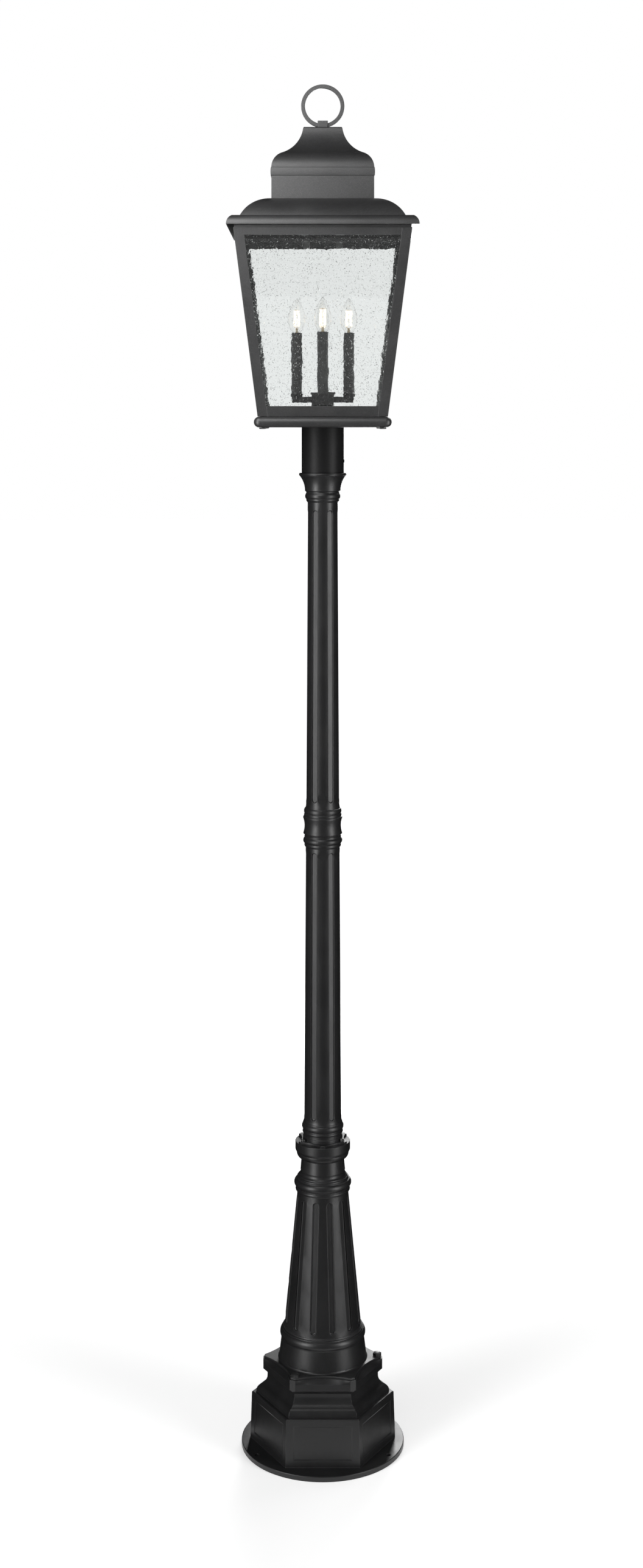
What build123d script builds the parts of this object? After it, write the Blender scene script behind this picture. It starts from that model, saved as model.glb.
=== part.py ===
from build123d import *
import os
from math import atan2, cos, degrees, radians, sin, sqrt

# Four-light post light at its real size: millimetres, +Z up.
# The origin is the middle of the underside of the base flange, and the front faces -Y.

os.makedirs("parts", exist_ok=True)

# Clearances
running_gap = 0.3
slip_gap = 0.1
screw_gap = 0.4

# Base flange and hexagonal pedestal casting
flange_radius = 166.0
flange_height = 10.0
flange_edge_round = 1.5
anchor_circle = 306.0
anchor_hole = 9.0
anchor_count = 3
anchor_first_angle = 90.0
box_foot_face = 128.6
box_top_face = 125.9
box_height = 94.0
box_wall = 6.0
waist_wall = 8.5
panel_margin = 13.0
panel_step = 3.0
panel_depth = 1.2
ogee_foot_face = 118.0
ogee_waist_face = 98.2
ogee_height = 39.0
ogee_corner_rise = 27.0
flare_height = 9.0
band_face = 108.8
band_corner = 121.9
band_height = 21.0
band_plate = 8.0
lunette_drop = 7.0
lunette_reach = 20.0
pedestal_bore = 60.0

# Base column: star foot, drum, torus, fluted cone, torus, neck and socket
foot_plate = 4.5
foot_corner = 119.5
foot_scoop = 97.0
facet_width = 13.0
foot_bolt_circle = 223.0
foot_bolt_count = 3
foot_bolt_shank = 10.0
foot_bolt_head = 15.5
foot_bolt_head_height = 6.5
foot_bolt_length = 22.0
drum_foot_radius = 89.2
drum_top_radius = 84.6
drum_height = 42.0
column_torus_height = 24.7
cone_foot_radius = 78.3
cone_top_radius = 52.2
cone_height = 273.8
column_wall = 9.0
cone_flute_count = 12
cone_flute_width = 13.5
cone_flute_depth = 3.4
cone_flute_foot_margin = 6.3
cone_flute_top_margin = 9.6
neck_torus_height = 32.6
neck_radius = 43.6
neck_height = 34.4
neck_foot_radius = 49.4
neck_cove = 9.9
neck_flare = 2.2
socket_radius = 56.2
socket_height = 35.0
socket_facet = 9.8
crown_plate = 4.5
crown_corner = 54.6
crown_scoop = 43.6
crown_bolt_circle = 91.0
crown_bolt_count = 3
crown_bolt_head = 9.0
crown_bolt_shank = 6.0
crown_bolt_head_height = 4.0
crown_bolt_length = 16.0

# Fluted pole in two cast lengths, joined by an inner sleeve
spigot_radius = 38.3
spigot_length = 140.0
pole_ring_height = 36.0
lower_foot_radius = 38.3
lower_top_radius = 35.0
lower_shaft_height = 561.5
lower_bore = 28.0
collar_height = 25.0
waist_height = 63.0
upper_foot_radius = 34.2
upper_top_radius = 30.9
upper_shaft_height = 619.0
upper_bore = 23.0
pole_flute_count = 6
pole_flute_width = 13.2
pole_flute_depth = 3.2
flute_floor_round = 2.2
lower_flute_foot_margin = 8.0
lower_flute_top_margin = 8.0
upper_flute_foot_margin = 6.0
upper_flute_top_margin = 16.0
joiner_wall = 4.0
joiner_depth = 60.0
top_spigot_radius = 28.0
top_spigot_length = 40.0

# Capital and the tenon that carries the lantern
capital_height = 58.0
capital_lip_radius = 48.4
capital_lip_height = 2.0
capital_lip_step = 4.0
capital_floor = 7.0
tenon_radius = 38.1
tenon_wall = 3.5
tenon_seat = 12.0
tenon_height = 103.0

# Post fitter under the lantern
fitter_radius = 43.25
fitter_clearance = 0.5
fitter_top_plate = 4.6
fitter_screw_shank = 6.0
fitter_screw_proud = 1.2
fitter_screw_height = 26.0
fitter_screw_key = 2.0
fitter_screw_angles = (102.0, 207.0, 357.0)

# Base pan
pan_half = 137.4
pan_thickness = 21.2
pan_corner_round = 12.0
pan_edge_round = 10.5
pan_pocket_half = 104.0
pan_top_plate = 6.0
pan_boss_radius = 50.0

# Candle cluster
hub_radius = 23.0
hub_wall = 3.0
hub_height = 46.4
hub_cap_radius = 25.5
hub_cap_height = 4.0
nipple_radius = 6.0
nipple_bore = 4.0
lock_nut_across = 17.0
lock_nut_height = 6.0
nipple_tail = 3.0
arm_size = 12.0
arm_wall = 1.5
arm_reach = 63.0
arm_height = 29.4
candle_offset = 53.4
cup_foot_radius = 11.9
cup_lip_radius = 12.9
cup_height = 6.0
cup_floor = 1.5
sleeve_radius = 11.0
sleeve_wall = 1.0
sleeve_length = 129.5
lead_hole = 4.0
post_rod_radius = 4.5
post_rod_bore = 3.2
post_rod_tail = 2.5
post_rod_length = 84.0
socket_body_radius = 9.3
socket_body_height = 46.0
socket_floor = 6.0
shell_radius = 7.2
shell_wall = 0.8
shell_inset = 4.0
candle_angles = (270.0, 0.0, 90.0, 180.0)

# Flame bulbs
cap_radius = 6.05
cap_length = 27.0
cap_skirt_radius = 7.5
cap_skirt_height = 2.5
contact_radius = 2.6
contact_height = 3.0
bulb_radius = 17.2
bulb_neck_radius = 6.9
bulb_length = 73.2
bulb_wall = 0.8
bulb_seat_depth = 1.5
bulb_tip_radius = 1.4
bulb_belly_height = 30.0
bulb_shoulder_radius = 9.5
bulb_shoulder_height = 59.0
stem_radius = 2.4
stem_height = 16.0
filament_radius = 0.7
filament_length = 34.0
filament_circle = 8.0
filament_count = 4
spider_radius = 5.4
spider_height = 1.0

# Wiring held inside the cluster
lead_radius = 0.9
lead_offset = 1.4
lead_bend = 3.5
splice_radius = 7.0
splice_height = 16.0
supply_drop = 60.0
supply_spacing = 3.5
ground_offset = 18.0
ground_screw_radius = 4.0
ground_screw_height = 2.5

# Glazed cage
cage_foot_half = 129.9
cage_top_half = 176.5
cage_height = 373.2
frame_wall = 3.0
stile_width = 19.8
bottom_rail = 20.8
top_rail = 14.9
foot_block = 11.5
foot_block_height = 10.0
glass_thickness = 3.0
glass_seat = 0.2
glass_side_lap = 11.5
glass_foot_lap = 8.0
glass_top_lap = 10.0
clip_width = 14.0
clip_metal = 1.4
clip_spread = 70.0
clip_foot_gap = 2.0
thumb_offset = 120.0
thumb_head_radius = 7.0
thumb_head_height = 3.0
thumb_shank_radius = 2.4
thumb_engagement = 8.0

# Roof: eave moulding, bell, chimney, vent cap and finial
sheet = 2.5
fascia_half = 174.9
fascia_height = 5.2
fascia_wall = 12.0
eave_half = 190.1
eave_top_half = 179.2
eave_height = 18.5
eave_bulge = 3.2
bell_half = 164.5
bell_top_half = 105.7
bell_height = 40.7
bell_bulge = 9.3
chimney_half = 103.1
chimney_height = 46.0
chimney_lip = 10.0
cap_band_half = 104.9
cap_band_height = 16.5
cap_band_lap = 8.0
cap_shoulder_half = 83.2
cap_shoulder_height = 32.0
cap_shoulder_bulge = 5.2
cap_neck_half = 39.9
cap_neck_height = 55.5
cap_neck_bulge = 9.4
cap_top_half = 38.4
cap_top_height = 2.2
finial_width = 21.0
finial_depth = 14.0
finial_height = 17.4
finial_edge_round = 0.8
ring_radius = 44.4
ring_bar = 7.9
ring_depth = 7.0
ring_rise = 47.8
finial_screw_radius = 3.0
finial_screw_head = 5.5
finial_screw_head_height = 4.0
finial_screw_length = 18.0

# Turned mouldings: shares of the moulding's height, as out from its radius, up, and swell
column_torus_steps = (
    (0.008, 0.093, 0.121),
    (-0.032, 0.717, 0),
    (-0.089, 0.737, 0.036),
    (-0.113, 0.862, 0),
    (-0.162, 0.883, 0),
    (-0.174, 0.935, 0),
    (-0.202, 0.947, 0.012),
    (-0.243, 0.998, 0),
)
neck_torus_steps = (
    (0.074, 0.025, 0.037),
    (0.074, 0.215, 0),
    (0.049, 0.252, 0),
    (0.067, 0.301, 0),
    (0.104, 0.319, 0.104),
    (0.080, 0.745, 0),
    (0.028, 0.764, 0),
    (0.012, 0.794, 0),
    (0.000, 0.807, 0.031),
    (-0.031, 0.936, 0),
    (-0.061, 0.948, 0),
    (-0.083, 0.994, 0),
)
socket_steps = (
    (-0.343, 0.003, 0),
    (-0.274, 0.034, 0.069),
    (-0.086, 0.383, 0),
    (-0.074, 0.406, 0),
    (-0.034, 0.446, 0.006),
    (0.000, 0.543, 0),
    (0.000, 0.977, 0),
    (-0.023, 1.000, 0),
)
pole_ring_steps = (
    (0.064, 0.000, 0),
    (0.064, 0.139, 0),
    (0.025, 0.194, 0),
    (0.025, 0.333, 0),
    (0.053, 0.347, 0.036),
    (0.053, 0.500, 0),
    (0.042, 0.522, 0),
    (0.042, 0.564, 0),
    (0.075, 0.581, 0.050),
    (0.075, 0.861, 0),
    (0.047, 0.889, 0.014),
    (0.036, 0.986, 0),
    (0.025, 1.000, -0.006),
    (0.000, 1.153, 0),
)
collar_steps = (
    (0.068, 0.060, 0.032),
    (0.080, 0.300, 0),
    (0.112, 0.340, 0.092),
    (0.116, 0.768, 0),
    (0.088, 0.796, 0.026),
    (0.076, 0.968, 0),
    (0.056, 1.000, 0),
)
waist_steps = (
    (0.048, 0.000, 0),
    (0.048, 0.014, 0),
    (0.078, 0.036, 0.008),
    (0.087, 0.071, -0.041),
    (0.094, 0.548, 0.005),
    (0.090, 0.597, 0),
    (0.063, 0.606, 0),
    (0.064, 0.616, 0.008),
    (0.060, 0.689, 0),
    (0.049, 0.698, 0.022),
    (0.046, 0.862, 0),
    (0.022, 0.873, 0),
    (0.019, 0.889, -0.005),
)
capital_steps = (
    (0.009, 0.000, 0),
    (0.029, 0.026, 0.012),
    (0.047, 0.112, 0),
    (0.060, 0.121, 0.033),
    (0.060, 0.314, 0),
    (0.050, 0.336, 0),
    (0.060, 0.374, 0),
    (0.098, 0.405, -0.047),
    (0.276, 0.926, 0),
)
lip_steps = (
    (-0.70, -1.90, 0.55),
    (-0.10, 0.30, 0),
    (-0.15, 1.00, 0),
)

# Heights worked out from the sizes above
box_top = flange_height + box_height
ogee_top = box_top + ogee_height
band_foot = ogee_top + flare_height
band_top = band_foot + band_height
drum_foot = band_top + foot_plate
drum_top = drum_foot + drum_height
cone_foot = drum_top + column_torus_height
cone_top = cone_foot + cone_height
neck_foot = cone_top + neck_torus_height
neck_top = neck_foot + neck_height
socket_top = neck_top + socket_height
crown_top = socket_top + crown_plate
lower_foot = crown_top + pole_ring_height
lower_top = lower_foot + lower_shaft_height
pole_joint = lower_top + collar_height
upper_foot = pole_joint + waist_height
upper_top = upper_foot + upper_shaft_height
capital_top = upper_top + capital_height
tenon_foot = capital_top - tenon_seat
tenon_top = tenon_foot + tenon_height
fitter_foot = capital_top + running_gap
fitter_top = tenon_top + running_gap + fitter_top_plate
pan_foot = fitter_top
pan_top = pan_foot + pan_thickness
hub_top = pan_top + hub_height
cage_foot = pan_top + running_gap
arm_foot = pan_top + arm_height
arm_top = arm_foot + arm_size
sleeve_foot = arm_top + cup_floor
sleeve_top = sleeve_foot + sleeve_length
socket_foot = arm_top - arm_wall - post_rod_tail + post_rod_length
socket_rim = socket_foot + socket_body_height
bulb_seat = socket_rim + running_gap
cage_top = cage_foot + cage_height
eave_foot = cage_top + fascia_height
eave_top = eave_foot + eave_height
bell_top = eave_top + bell_height
chimney_top = bell_top + chimney_height
cap_band_top = chimney_top + cap_band_height
cap_shoulder = cap_band_top + cap_shoulder_height
cap_neck = cap_shoulder + cap_neck_height
cap_top = cap_neck + cap_top_height
ring_centre = cap_top + ring_rise


def side_plane(angle):
    """Upright plane through the axis, its x axis pointing out at this angle."""
    outward = (cos(radians(angle)), sin(radians(angle)), 0)
    across = (sin(radians(angle)), -cos(radians(angle)), 0)
    return Plane(origin=(0, 0, 0), x_dir=outward, z_dir=across)


def rising_edge(steps, middle=0):
    """Outline that climbs one side and closes along the upright line at the middle.

    Each step holds a distance from that line, a height, and how far the curve
    to the next step swells outward, or inward when it is negative.
    """
    for (near, low, swell), (far, high, _) in zip(steps, steps[1:]):
        if swell == 0:
            Line((middle + near, low), (middle + far, high))
        else:
            run = sqrt((far - near) ** 2 + (high - low) ** 2)
            across = middle + (near + far) / 2 + swell * (high - low) / run
            up = (low + high) / 2 - swell * (far - near) / run
            ThreePointArc((middle + near, low), (across, up), (middle + far, high))
    foot, low, _ = steps[0]
    head, high, _ = steps[-1]
    closing = [(middle, high), (middle, low), (middle + foot, low)]
    if head > 0:
        closing.insert(0, (middle + head, high))
    Polyline(*closing)


def moulding(radius, foot, height, steps):
    """Outline steps of a moulding, from shares of its height."""
    return [(radius + out * height, foot + up * height, swell * height) for out, up, swell in steps]


def turned(steps):
    """Solid of revolution about the axis from a rising outline."""
    with BuildPart() as body:
        with BuildSketch(Plane.XZ):
            with BuildLine():
                rising_edge(steps)
            make_face()
        revolve(axis=Axis.Z)
    return body.part


def sided(steps, angles, reach):
    """Solid with flat or curved sides that face the given angles and their opposites."""
    with BuildPart() as body:
        for place, angle in enumerate(angles):
            with BuildSketch(side_plane(angle)):
                with BuildLine():
                    rising_edge(steps)
                make_face()
                mirror(about=Plane.YZ)
            if place == 0:
                extrude(amount=reach, both=True)
            else:
                extrude(amount=reach, both=True, mode=Mode.INTERSECT)
    return body.part


def flute_cutter(near, low, far, high, width, depth):
    """Round-ended slot cut into a tapered shaft between two points on its surface."""
    length = sqrt((far - near) ** 2 + (high - low) ** 2)
    rise = Vector(far - near, 0, high - low) * (1 / length)
    outward = Vector(rise.Z, 0, -rise.X)
    middle = Vector((near + far) / 2, 0, (low + high) / 2) - outward * depth
    with BuildPart() as cutter:
        with BuildSketch(Plane(origin=middle, x_dir=rise, z_dir=outward)):
            SlotOverall(length, width)
        extrude(amount=3 * depth)
        fillet(cutter.faces().sort_by(Axis(middle, outward))[0].edges(), flute_floor_round)
    return cutter.part


def star_outline(first_angle, corner, facet, scoop):
    """Six-cornered outline with cut corners and sides scooped in along arcs."""
    half = facet / 2
    for turn in range(6):
        here = radians(first_angle + 60 * turn)
        there = radians(first_angle + 60 * (turn + 1))
        between = radians(first_angle + 60 * turn + 30)
        facet_start = (corner * cos(here) + half * sin(here), corner * sin(here) - half * cos(here))
        facet_end = (corner * cos(here) - half * sin(here), corner * sin(here) + half * cos(here))
        next_start = (corner * cos(there) + half * sin(there), corner * sin(there) - half * cos(there))
        Line(facet_start, facet_end)
        ThreePointArc(facet_end, (scoop * cos(between), scoop * sin(between)), next_start)


hexagon_sides = (30.0, 90.0, 150.0)
square_sides = (0.0, 90.0)

# Pedestal: flange, panelled hexagonal box, ogee and the band that carries the column
ogee_middle_face = (ogee_foot_face + ogee_waist_face) / 2 + ogee_height * 0.02
pedestal_outline = [
    (box_foot_face, flange_height, 0),
    (box_top_face, box_top - flange_edge_round, 0),
    (box_top_face - flange_edge_round, box_top, 0),
    (ogee_foot_face, box_top, 0),
    (ogee_foot_face, box_top + ogee_height * 0.07, ogee_height * 0.057),
    (ogee_middle_face, box_top + ogee_height * 0.4, -ogee_height * 0.078),
    (ogee_waist_face, box_top + ogee_height * 0.87, 0),
    (ogee_waist_face, ogee_top, -flare_height * 0.1),
    (band_face - flare_height * 0.1, band_foot, 0),
    (band_face, band_foot + flare_height * 0.1, 0),
    (band_face, band_top, 0),
]
pedestal_hollow = [
    (box_foot_face - box_wall, -1.0, 0),
    (box_top_face - box_wall, box_top - box_wall, 0),
    (ogee_waist_face - waist_wall, box_top - box_wall, 0),
    (ogee_waist_face - waist_wall, band_top - band_plate, 0),
]
face_slope = degrees(atan2(box_foot_face - box_top_face, box_height))
panel_height = box_height - 2 * panel_margin
panel_width = 2 * box_top_face / sqrt(3) - 2 * panel_margin
panel_middle = flange_height + box_height / 2
panel_face = (box_foot_face + box_top_face) / 2
lunette_half = band_face / sqrt(3) - 2 * (band_face * 2 / sqrt(3) - band_corner)
lunette_frame = [
    (band_face, lunette_half),
    (band_face + lunette_reach, lunette_half),
    (band_face + lunette_reach, -lunette_half),
    (band_face, -lunette_half),
]
with BuildPart() as pedestal:
    add(sided(pedestal_outline, hexagon_sides, 2 * flange_radius))
    with BuildSketch():
        Circle(flange_radius)
    extrude(amount=flange_height)
    rim = pedestal.edges().filter_by(GeomType.CIRCLE).group_by(Axis.Z)[-1]
    fillet(rim, flange_edge_round)
    add(sided(pedestal_hollow, hexagon_sides, 2 * flange_radius), mode=Mode.SUBTRACT)
    # Cut corners on the band, clear of the box below
    with BuildSketch(Plane.XY.offset(box_top + ogee_corner_rise)):
        Circle(2 * flange_radius)
        RegularPolygon(band_corner, 6, major_radius=False, rotation=30, mode=Mode.SUBTRACT)
    extrude(amount=band_height * 3, mode=Mode.SUBTRACT)
    with BuildSketch(Plane.XY.offset(band_top - band_plate - 1.0)):
        Circle(pedestal_bore)
    extrude(amount=band_plate + 2.0, mode=Mode.SUBTRACT)
    # Sloping lunette above the band on each side
    for turn in range(6):
        heading = 60 * turn + 30
        with BuildSketch(Plane.XY.offset(band_top - lunette_drop).rotated((0, 0, heading))):
            with BuildLine():
                Polyline(*lunette_frame)
                Line(lunette_frame[-1], lunette_frame[0])
            make_face()
        with BuildSketch(Plane.XY.offset(band_top).rotated((0, 0, heading))):
            with BuildLine():
                Polyline(*lunette_frame)
                ThreePointArc(lunette_frame[-1], (foot_scoop, 0), lunette_frame[0])
            make_face()
        loft(ruled=True, mode=Mode.SUBTRACT)
    # Sunk panel with a sloping border on each side of the box
    for turn in range(6):
        heading = radians(60 * turn + 30)
        tilt = radians(face_slope)
        outward = (cos(heading) * cos(tilt), sin(heading) * cos(tilt), sin(tilt))
        along = (-sin(heading), cos(heading), 0)
        face_point = (panel_face * cos(heading), panel_face * sin(heading), panel_middle)
        panel_plane = Plane(origin=face_point, x_dir=along, z_dir=outward)
        with BuildSketch(panel_plane):
            Rectangle(panel_width, panel_height)
        with BuildSketch(panel_plane.offset(-panel_depth)):
            Rectangle(panel_width - 2 * panel_step, panel_height - 2 * panel_step)
        loft(ruled=True, mode=Mode.SUBTRACT)
    with PolarLocations(anchor_circle / 2, anchor_count, anchor_first_angle):
        Cylinder(
            anchor_hole / 2,
            4 * flange_height,
            mode=Mode.SUBTRACT,
        )
    with PolarLocations(foot_bolt_circle / 2, foot_bolt_count):
        with Locations((0, 0, band_top - foot_bolt_length + foot_plate)):
            Cylinder(
                foot_bolt_shank / 2 + screw_gap,
                2 * foot_bolt_length,
                align=(Align.CENTER, Align.CENTER, Align.MIN),
                mode=Mode.SUBTRACT,
            )
pedestal.part.label = "pedestal"
export_step(pedestal.part, "parts/pedestal.step")

# Base column: one hollow casting from its star foot to the socket rim
torus_top = drum_top + column_torus_height
column_outline = [
    (drum_foot_radius + foot_plate / 2, drum_foot, -foot_plate / 6),
    (drum_foot_radius, drum_foot + foot_plate, 0),
    (drum_top_radius, drum_top, 0),
    *moulding(drum_top_radius, drum_top, column_torus_height, column_torus_steps),
    (cone_foot_radius, cone_foot, 0),
    (cone_top_radius, cone_top, 0),
    *moulding(cone_top_radius, cone_top, neck_torus_height, neck_torus_steps),
    (neck_foot_radius, neck_foot, -neck_cove / 5),
    (neck_radius + neck_flare, neck_foot + neck_cove, 0),
    (neck_radius, neck_top, 0),
    *moulding(socket_radius, neck_top, socket_height, socket_steps),
]
spigot_bore = spigot_radius + slip_gap
spigot_foot = socket_top - spigot_length
cone_run = cone_foot_radius - cone_top_radius
bore_at_spigot = cone_foot_radius - cone_run * (spigot_foot - cone_foot) / cone_height - column_wall
column_bore = [
    (pedestal_bore, band_top - 1.0, 0),
    (pedestal_bore, drum_foot + foot_plate, 0),
    (drum_top_radius - column_wall, drum_foot + foot_plate, 0),
    (drum_top_radius - column_wall, torus_top - column_wall, 0),
    (cone_foot_radius - column_wall, cone_foot, 0),
    (bore_at_spigot, spigot_foot, 0),
    (spigot_bore, spigot_foot, 0),
    (spigot_bore, socket_top + 1.0, 0),
]
cone_flute = flute_cutter(
    cone_foot_radius - cone_run * cone_flute_foot_margin / cone_height,
    cone_foot + cone_flute_foot_margin,
    cone_top_radius + cone_run * cone_flute_top_margin / cone_height,
    cone_top - cone_flute_top_margin,
    cone_flute_width,
    cone_flute_depth,
)
with BuildPart() as base_column:
    with BuildSketch(Plane.XY.offset(band_top)):
        with BuildLine():
            star_outline(0, foot_corner, facet_width - 2.0, foot_scoop - 0.6)
        make_face()
    extrude(amount=foot_plate)
    plate_rim = base_column.faces().sort_by(Axis.Z)[-1].edges()
    chamfer(plate_rim, 1.2)
    add(turned(column_outline))
    add(turned(column_bore), mode=Mode.SUBTRACT)
    with PolarLocations(0, cone_flute_count, 180 / cone_flute_count):
        add(cone_flute, mode=Mode.SUBTRACT)
    with PolarLocations(foot_bolt_circle / 2, foot_bolt_count):
        with Locations((0, 0, band_top)):
            Cylinder(foot_bolt_shank / 2 + screw_gap, 3 * foot_plate, mode=Mode.SUBTRACT)
    with PolarLocations(crown_bolt_circle / 2, crown_bolt_count, 90):
        with Locations((0, 0, crown_top - crown_bolt_length)):
            Cylinder(
                crown_bolt_shank / 2 + screw_gap,
                2 * crown_bolt_length,
                align=(Align.CENTER, Align.CENTER, Align.MIN),
                mode=Mode.SUBTRACT,
            )
base_column.part.label = "base_column"
export_step(base_column.part, "parts/base_column.step")

# Flanged hex bolts that hold the column's foot to the pedestal
with BuildPart() as foot_bolts:
    with PolarLocations(foot_bolt_circle / 2, foot_bolt_count):
        with Locations((0, 0, drum_foot)):
            Cylinder(foot_bolt_head / 2 + 1.0, 1.5, align=(Align.CENTER, Align.CENTER, Align.MIN))
        with Locations((0, 0, drum_foot - foot_bolt_length)):
            Cylinder(
                foot_bolt_shank / 2,
                foot_bolt_length + 1.0,
                align=(Align.CENTER, Align.CENTER, Align.MIN),
            )
    with BuildSketch(Plane.XY.offset(drum_foot + 1.0)):
        with PolarLocations(foot_bolt_circle / 2, foot_bolt_count):
            RegularPolygon(foot_bolt_head / 2, 6, major_radius=False)
    extrude(amount=foot_bolt_head_height - 1.0)
    chamfer(foot_bolts.faces().group_by(Axis.Z)[-1].edges(), 0.8)
foot_bolts.part.label = "foot_bolts"
export_step(foot_bolts.part, "parts/foot_bolts.step")

# Lower pole: crown plate, ring, fluted shaft and the lower half of the coupling
lower_outline = [
    *moulding(lower_foot_radius, crown_top, pole_ring_height, pole_ring_steps),
    (lower_top_radius, lower_top, 0),
    *moulding(lower_top_radius, lower_top, collar_height, collar_steps),
]
lower_flute = flute_cutter(
    lower_foot_radius,
    lower_foot + lower_flute_foot_margin,
    lower_top_radius,
    lower_top - lower_flute_top_margin,
    pole_flute_width,
    pole_flute_depth,
)
with BuildPart() as lower_pole:
    with BuildSketch(Plane.XY.offset(socket_top)):
        with BuildLine():
            star_outline(30, crown_corner, socket_facet - 1.5, crown_scoop)
        make_face()
    extrude(amount=crown_plate)
    plate_rim = lower_pole.faces().sort_by(Axis.Z)[-1].edges()
    chamfer(plate_rim, 1.0)
    with BuildSketch(Plane.XY.offset(spigot_foot)):
        Circle(spigot_radius)
    extrude(amount=spigot_length + crown_plate)
    add(turned(lower_outline))
    with BuildSketch(Plane.XY.offset(spigot_foot - 1.0)):
        Circle(lower_bore)
    extrude(until=Until.LAST, mode=Mode.SUBTRACT)
    with PolarLocations(0, pole_flute_count):
        add(lower_flute, mode=Mode.SUBTRACT)
    with PolarLocations(crown_bolt_circle / 2, crown_bolt_count, 90):
        with Locations((0, 0, socket_top)):
            Cylinder(crown_bolt_shank / 2 + screw_gap, 3 * crown_plate, mode=Mode.SUBTRACT)
lower_pole.part.label = "lower_pole"
export_step(lower_pole.part, "parts/lower_pole.step")

# Cap screws in three corners of the crown plate
with BuildPart() as crown_bolts:
    with PolarLocations(crown_bolt_circle / 2, crown_bolt_count, 90):
        with Locations((0, 0, crown_top)):
            Cylinder(
                crown_bolt_head / 2,
                crown_bolt_head_height,
                align=(Align.CENTER, Align.CENTER, Align.MIN),
            )
        with Locations((0, 0, crown_top - crown_bolt_length)):
            Cylinder(
                crown_bolt_shank / 2,
                crown_bolt_length + 1.0,
                align=(Align.CENTER, Align.CENTER, Align.MIN),
            )
    heads = crown_bolts.faces().group_by(Axis.Z)[-1].edges()
    fillet(heads, 1.2)
crown_bolts.part.label = "crown_bolts"
export_step(crown_bolts.part, "parts/crown_bolts.step")

# Sleeve inside the coupling that joins the two pole lengths
joiner_radius = lower_bore - slip_gap
with BuildPart() as pole_joiner:
    with BuildSketch(Plane.XY.offset(pole_joint - joiner_depth)):
        Circle(joiner_radius)
        Circle(joiner_radius - joiner_wall, mode=Mode.SUBTRACT)
    extrude(amount=joiner_depth + waist_height - 10.0)
pole_joiner.part.label = "pole_joiner"
export_step(pole_joiner.part, "parts/pole_joiner.step")

# Upper pole: the coupling's waist, the fluted shaft and the spigot for the capital
upper_outline = [
    *moulding(upper_foot_radius, pole_joint, waist_height, waist_steps),
    (upper_foot_radius, upper_foot, 0),
    (upper_top_radius, upper_top, 0),
    (top_spigot_radius, upper_top, 0),
    (top_spigot_radius, upper_top + top_spigot_length, 0),
]
upper_flute = flute_cutter(
    upper_foot_radius,
    upper_foot + upper_flute_foot_margin,
    upper_top_radius,
    upper_top - upper_flute_top_margin,
    pole_flute_width,
    pole_flute_depth,
)
with BuildPart() as upper_pole:
    add(turned(upper_outline))
    with BuildSketch(Plane.XY.offset(pole_joint - 1.0)):
        Circle(upper_bore)
    extrude(until=Until.LAST, mode=Mode.SUBTRACT)
    with BuildSketch(Plane.XY.offset(pole_joint - 1.0)):
        Circle(lower_bore)
    extrude(amount=waist_height - 8.5, mode=Mode.SUBTRACT)
    with PolarLocations(0, pole_flute_count):
        add(upper_flute, mode=Mode.SUBTRACT)
upper_pole.part.label = "upper_pole"
export_step(upper_pole.part, "parts/upper_pole.step")

# Capital: beads and a trumpet whose lip surrounds the foot of the fitter
capital_outline = [
    *moulding(upper_top_radius, upper_top, capital_height, capital_steps),
    *moulding(capital_lip_radius, capital_top, capital_lip_height, lip_steps),
]
with BuildPart() as capital:
    add(turned(capital_outline))
    with BuildSketch(Plane.XY.offset(capital_top)):
        Circle(capital_lip_radius - capital_lip_step)
    extrude(amount=2 * capital_lip_height, mode=Mode.SUBTRACT)
    with BuildSketch(Plane.XY.offset(tenon_foot)):
        Circle(tenon_radius + slip_gap)
    extrude(amount=2 * tenon_seat, mode=Mode.SUBTRACT)
    with BuildSketch(Plane.XY.offset(upper_top - 1.0)):
        Circle(top_spigot_radius + slip_gap)
    extrude(amount=top_spigot_length + 1.0, mode=Mode.SUBTRACT)
    with BuildSketch(Plane.XY.offset(upper_top - 1.0)):
        Circle(top_spigot_radius - capital_floor)
    extrude(until=Until.LAST, mode=Mode.SUBTRACT)
    lip_edges = capital.edges().filter_by(GeomType.CIRCLE).group_by(Axis.Z)[-1]
    fillet(lip_edges, 0.8)
capital.part.label = "capital"
export_step(capital.part, "parts/capital.step")

# Tenon: the tube that the lantern's fitter slides over
with BuildPart() as tenon:
    with BuildSketch(Plane.XY.offset(tenon_foot)):
        Circle(tenon_radius)
        Circle(tenon_radius - tenon_wall, mode=Mode.SUBTRACT)
    extrude(amount=tenon_height)
tenon.part.label = "tenon"
export_step(tenon.part, "parts/tenon.step")

# Post fitter: closed at the top, open over the tenon
fitter_bore = tenon_radius + fitter_clearance
screw_level = fitter_foot + fitter_screw_height
with BuildPart() as post_fitter:
    with BuildSketch(Plane.XY.offset(fitter_foot)):
        Circle(fitter_radius)
    extrude(amount=fitter_top - fitter_foot)
    chamfer(post_fitter.edges().group_by(Axis.Z)[0], 0.6)
    with BuildSketch(Plane.XY.offset(fitter_foot)):
        Circle(fitter_bore)
    extrude(amount=fitter_top - fitter_top_plate - fitter_foot, mode=Mode.SUBTRACT)
    with BuildSketch(Plane.XY.offset(fitter_foot)):
        Circle(nipple_radius + slip_gap)
    extrude(until=Until.LAST, mode=Mode.SUBTRACT)
    for angle in fitter_screw_angles:
        with BuildSketch(Plane(origin=(0, 0, screw_level), z_dir=Vector(1, 0, 0).rotate(Axis.Z, angle))):
            Circle(fitter_screw_shank / 2 + slip_gap)
        extrude(amount=2 * fitter_radius, mode=Mode.SUBTRACT)
post_fitter.part.label = "post_fitter"
export_step(post_fitter.part, "parts/post_fitter.step")

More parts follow.
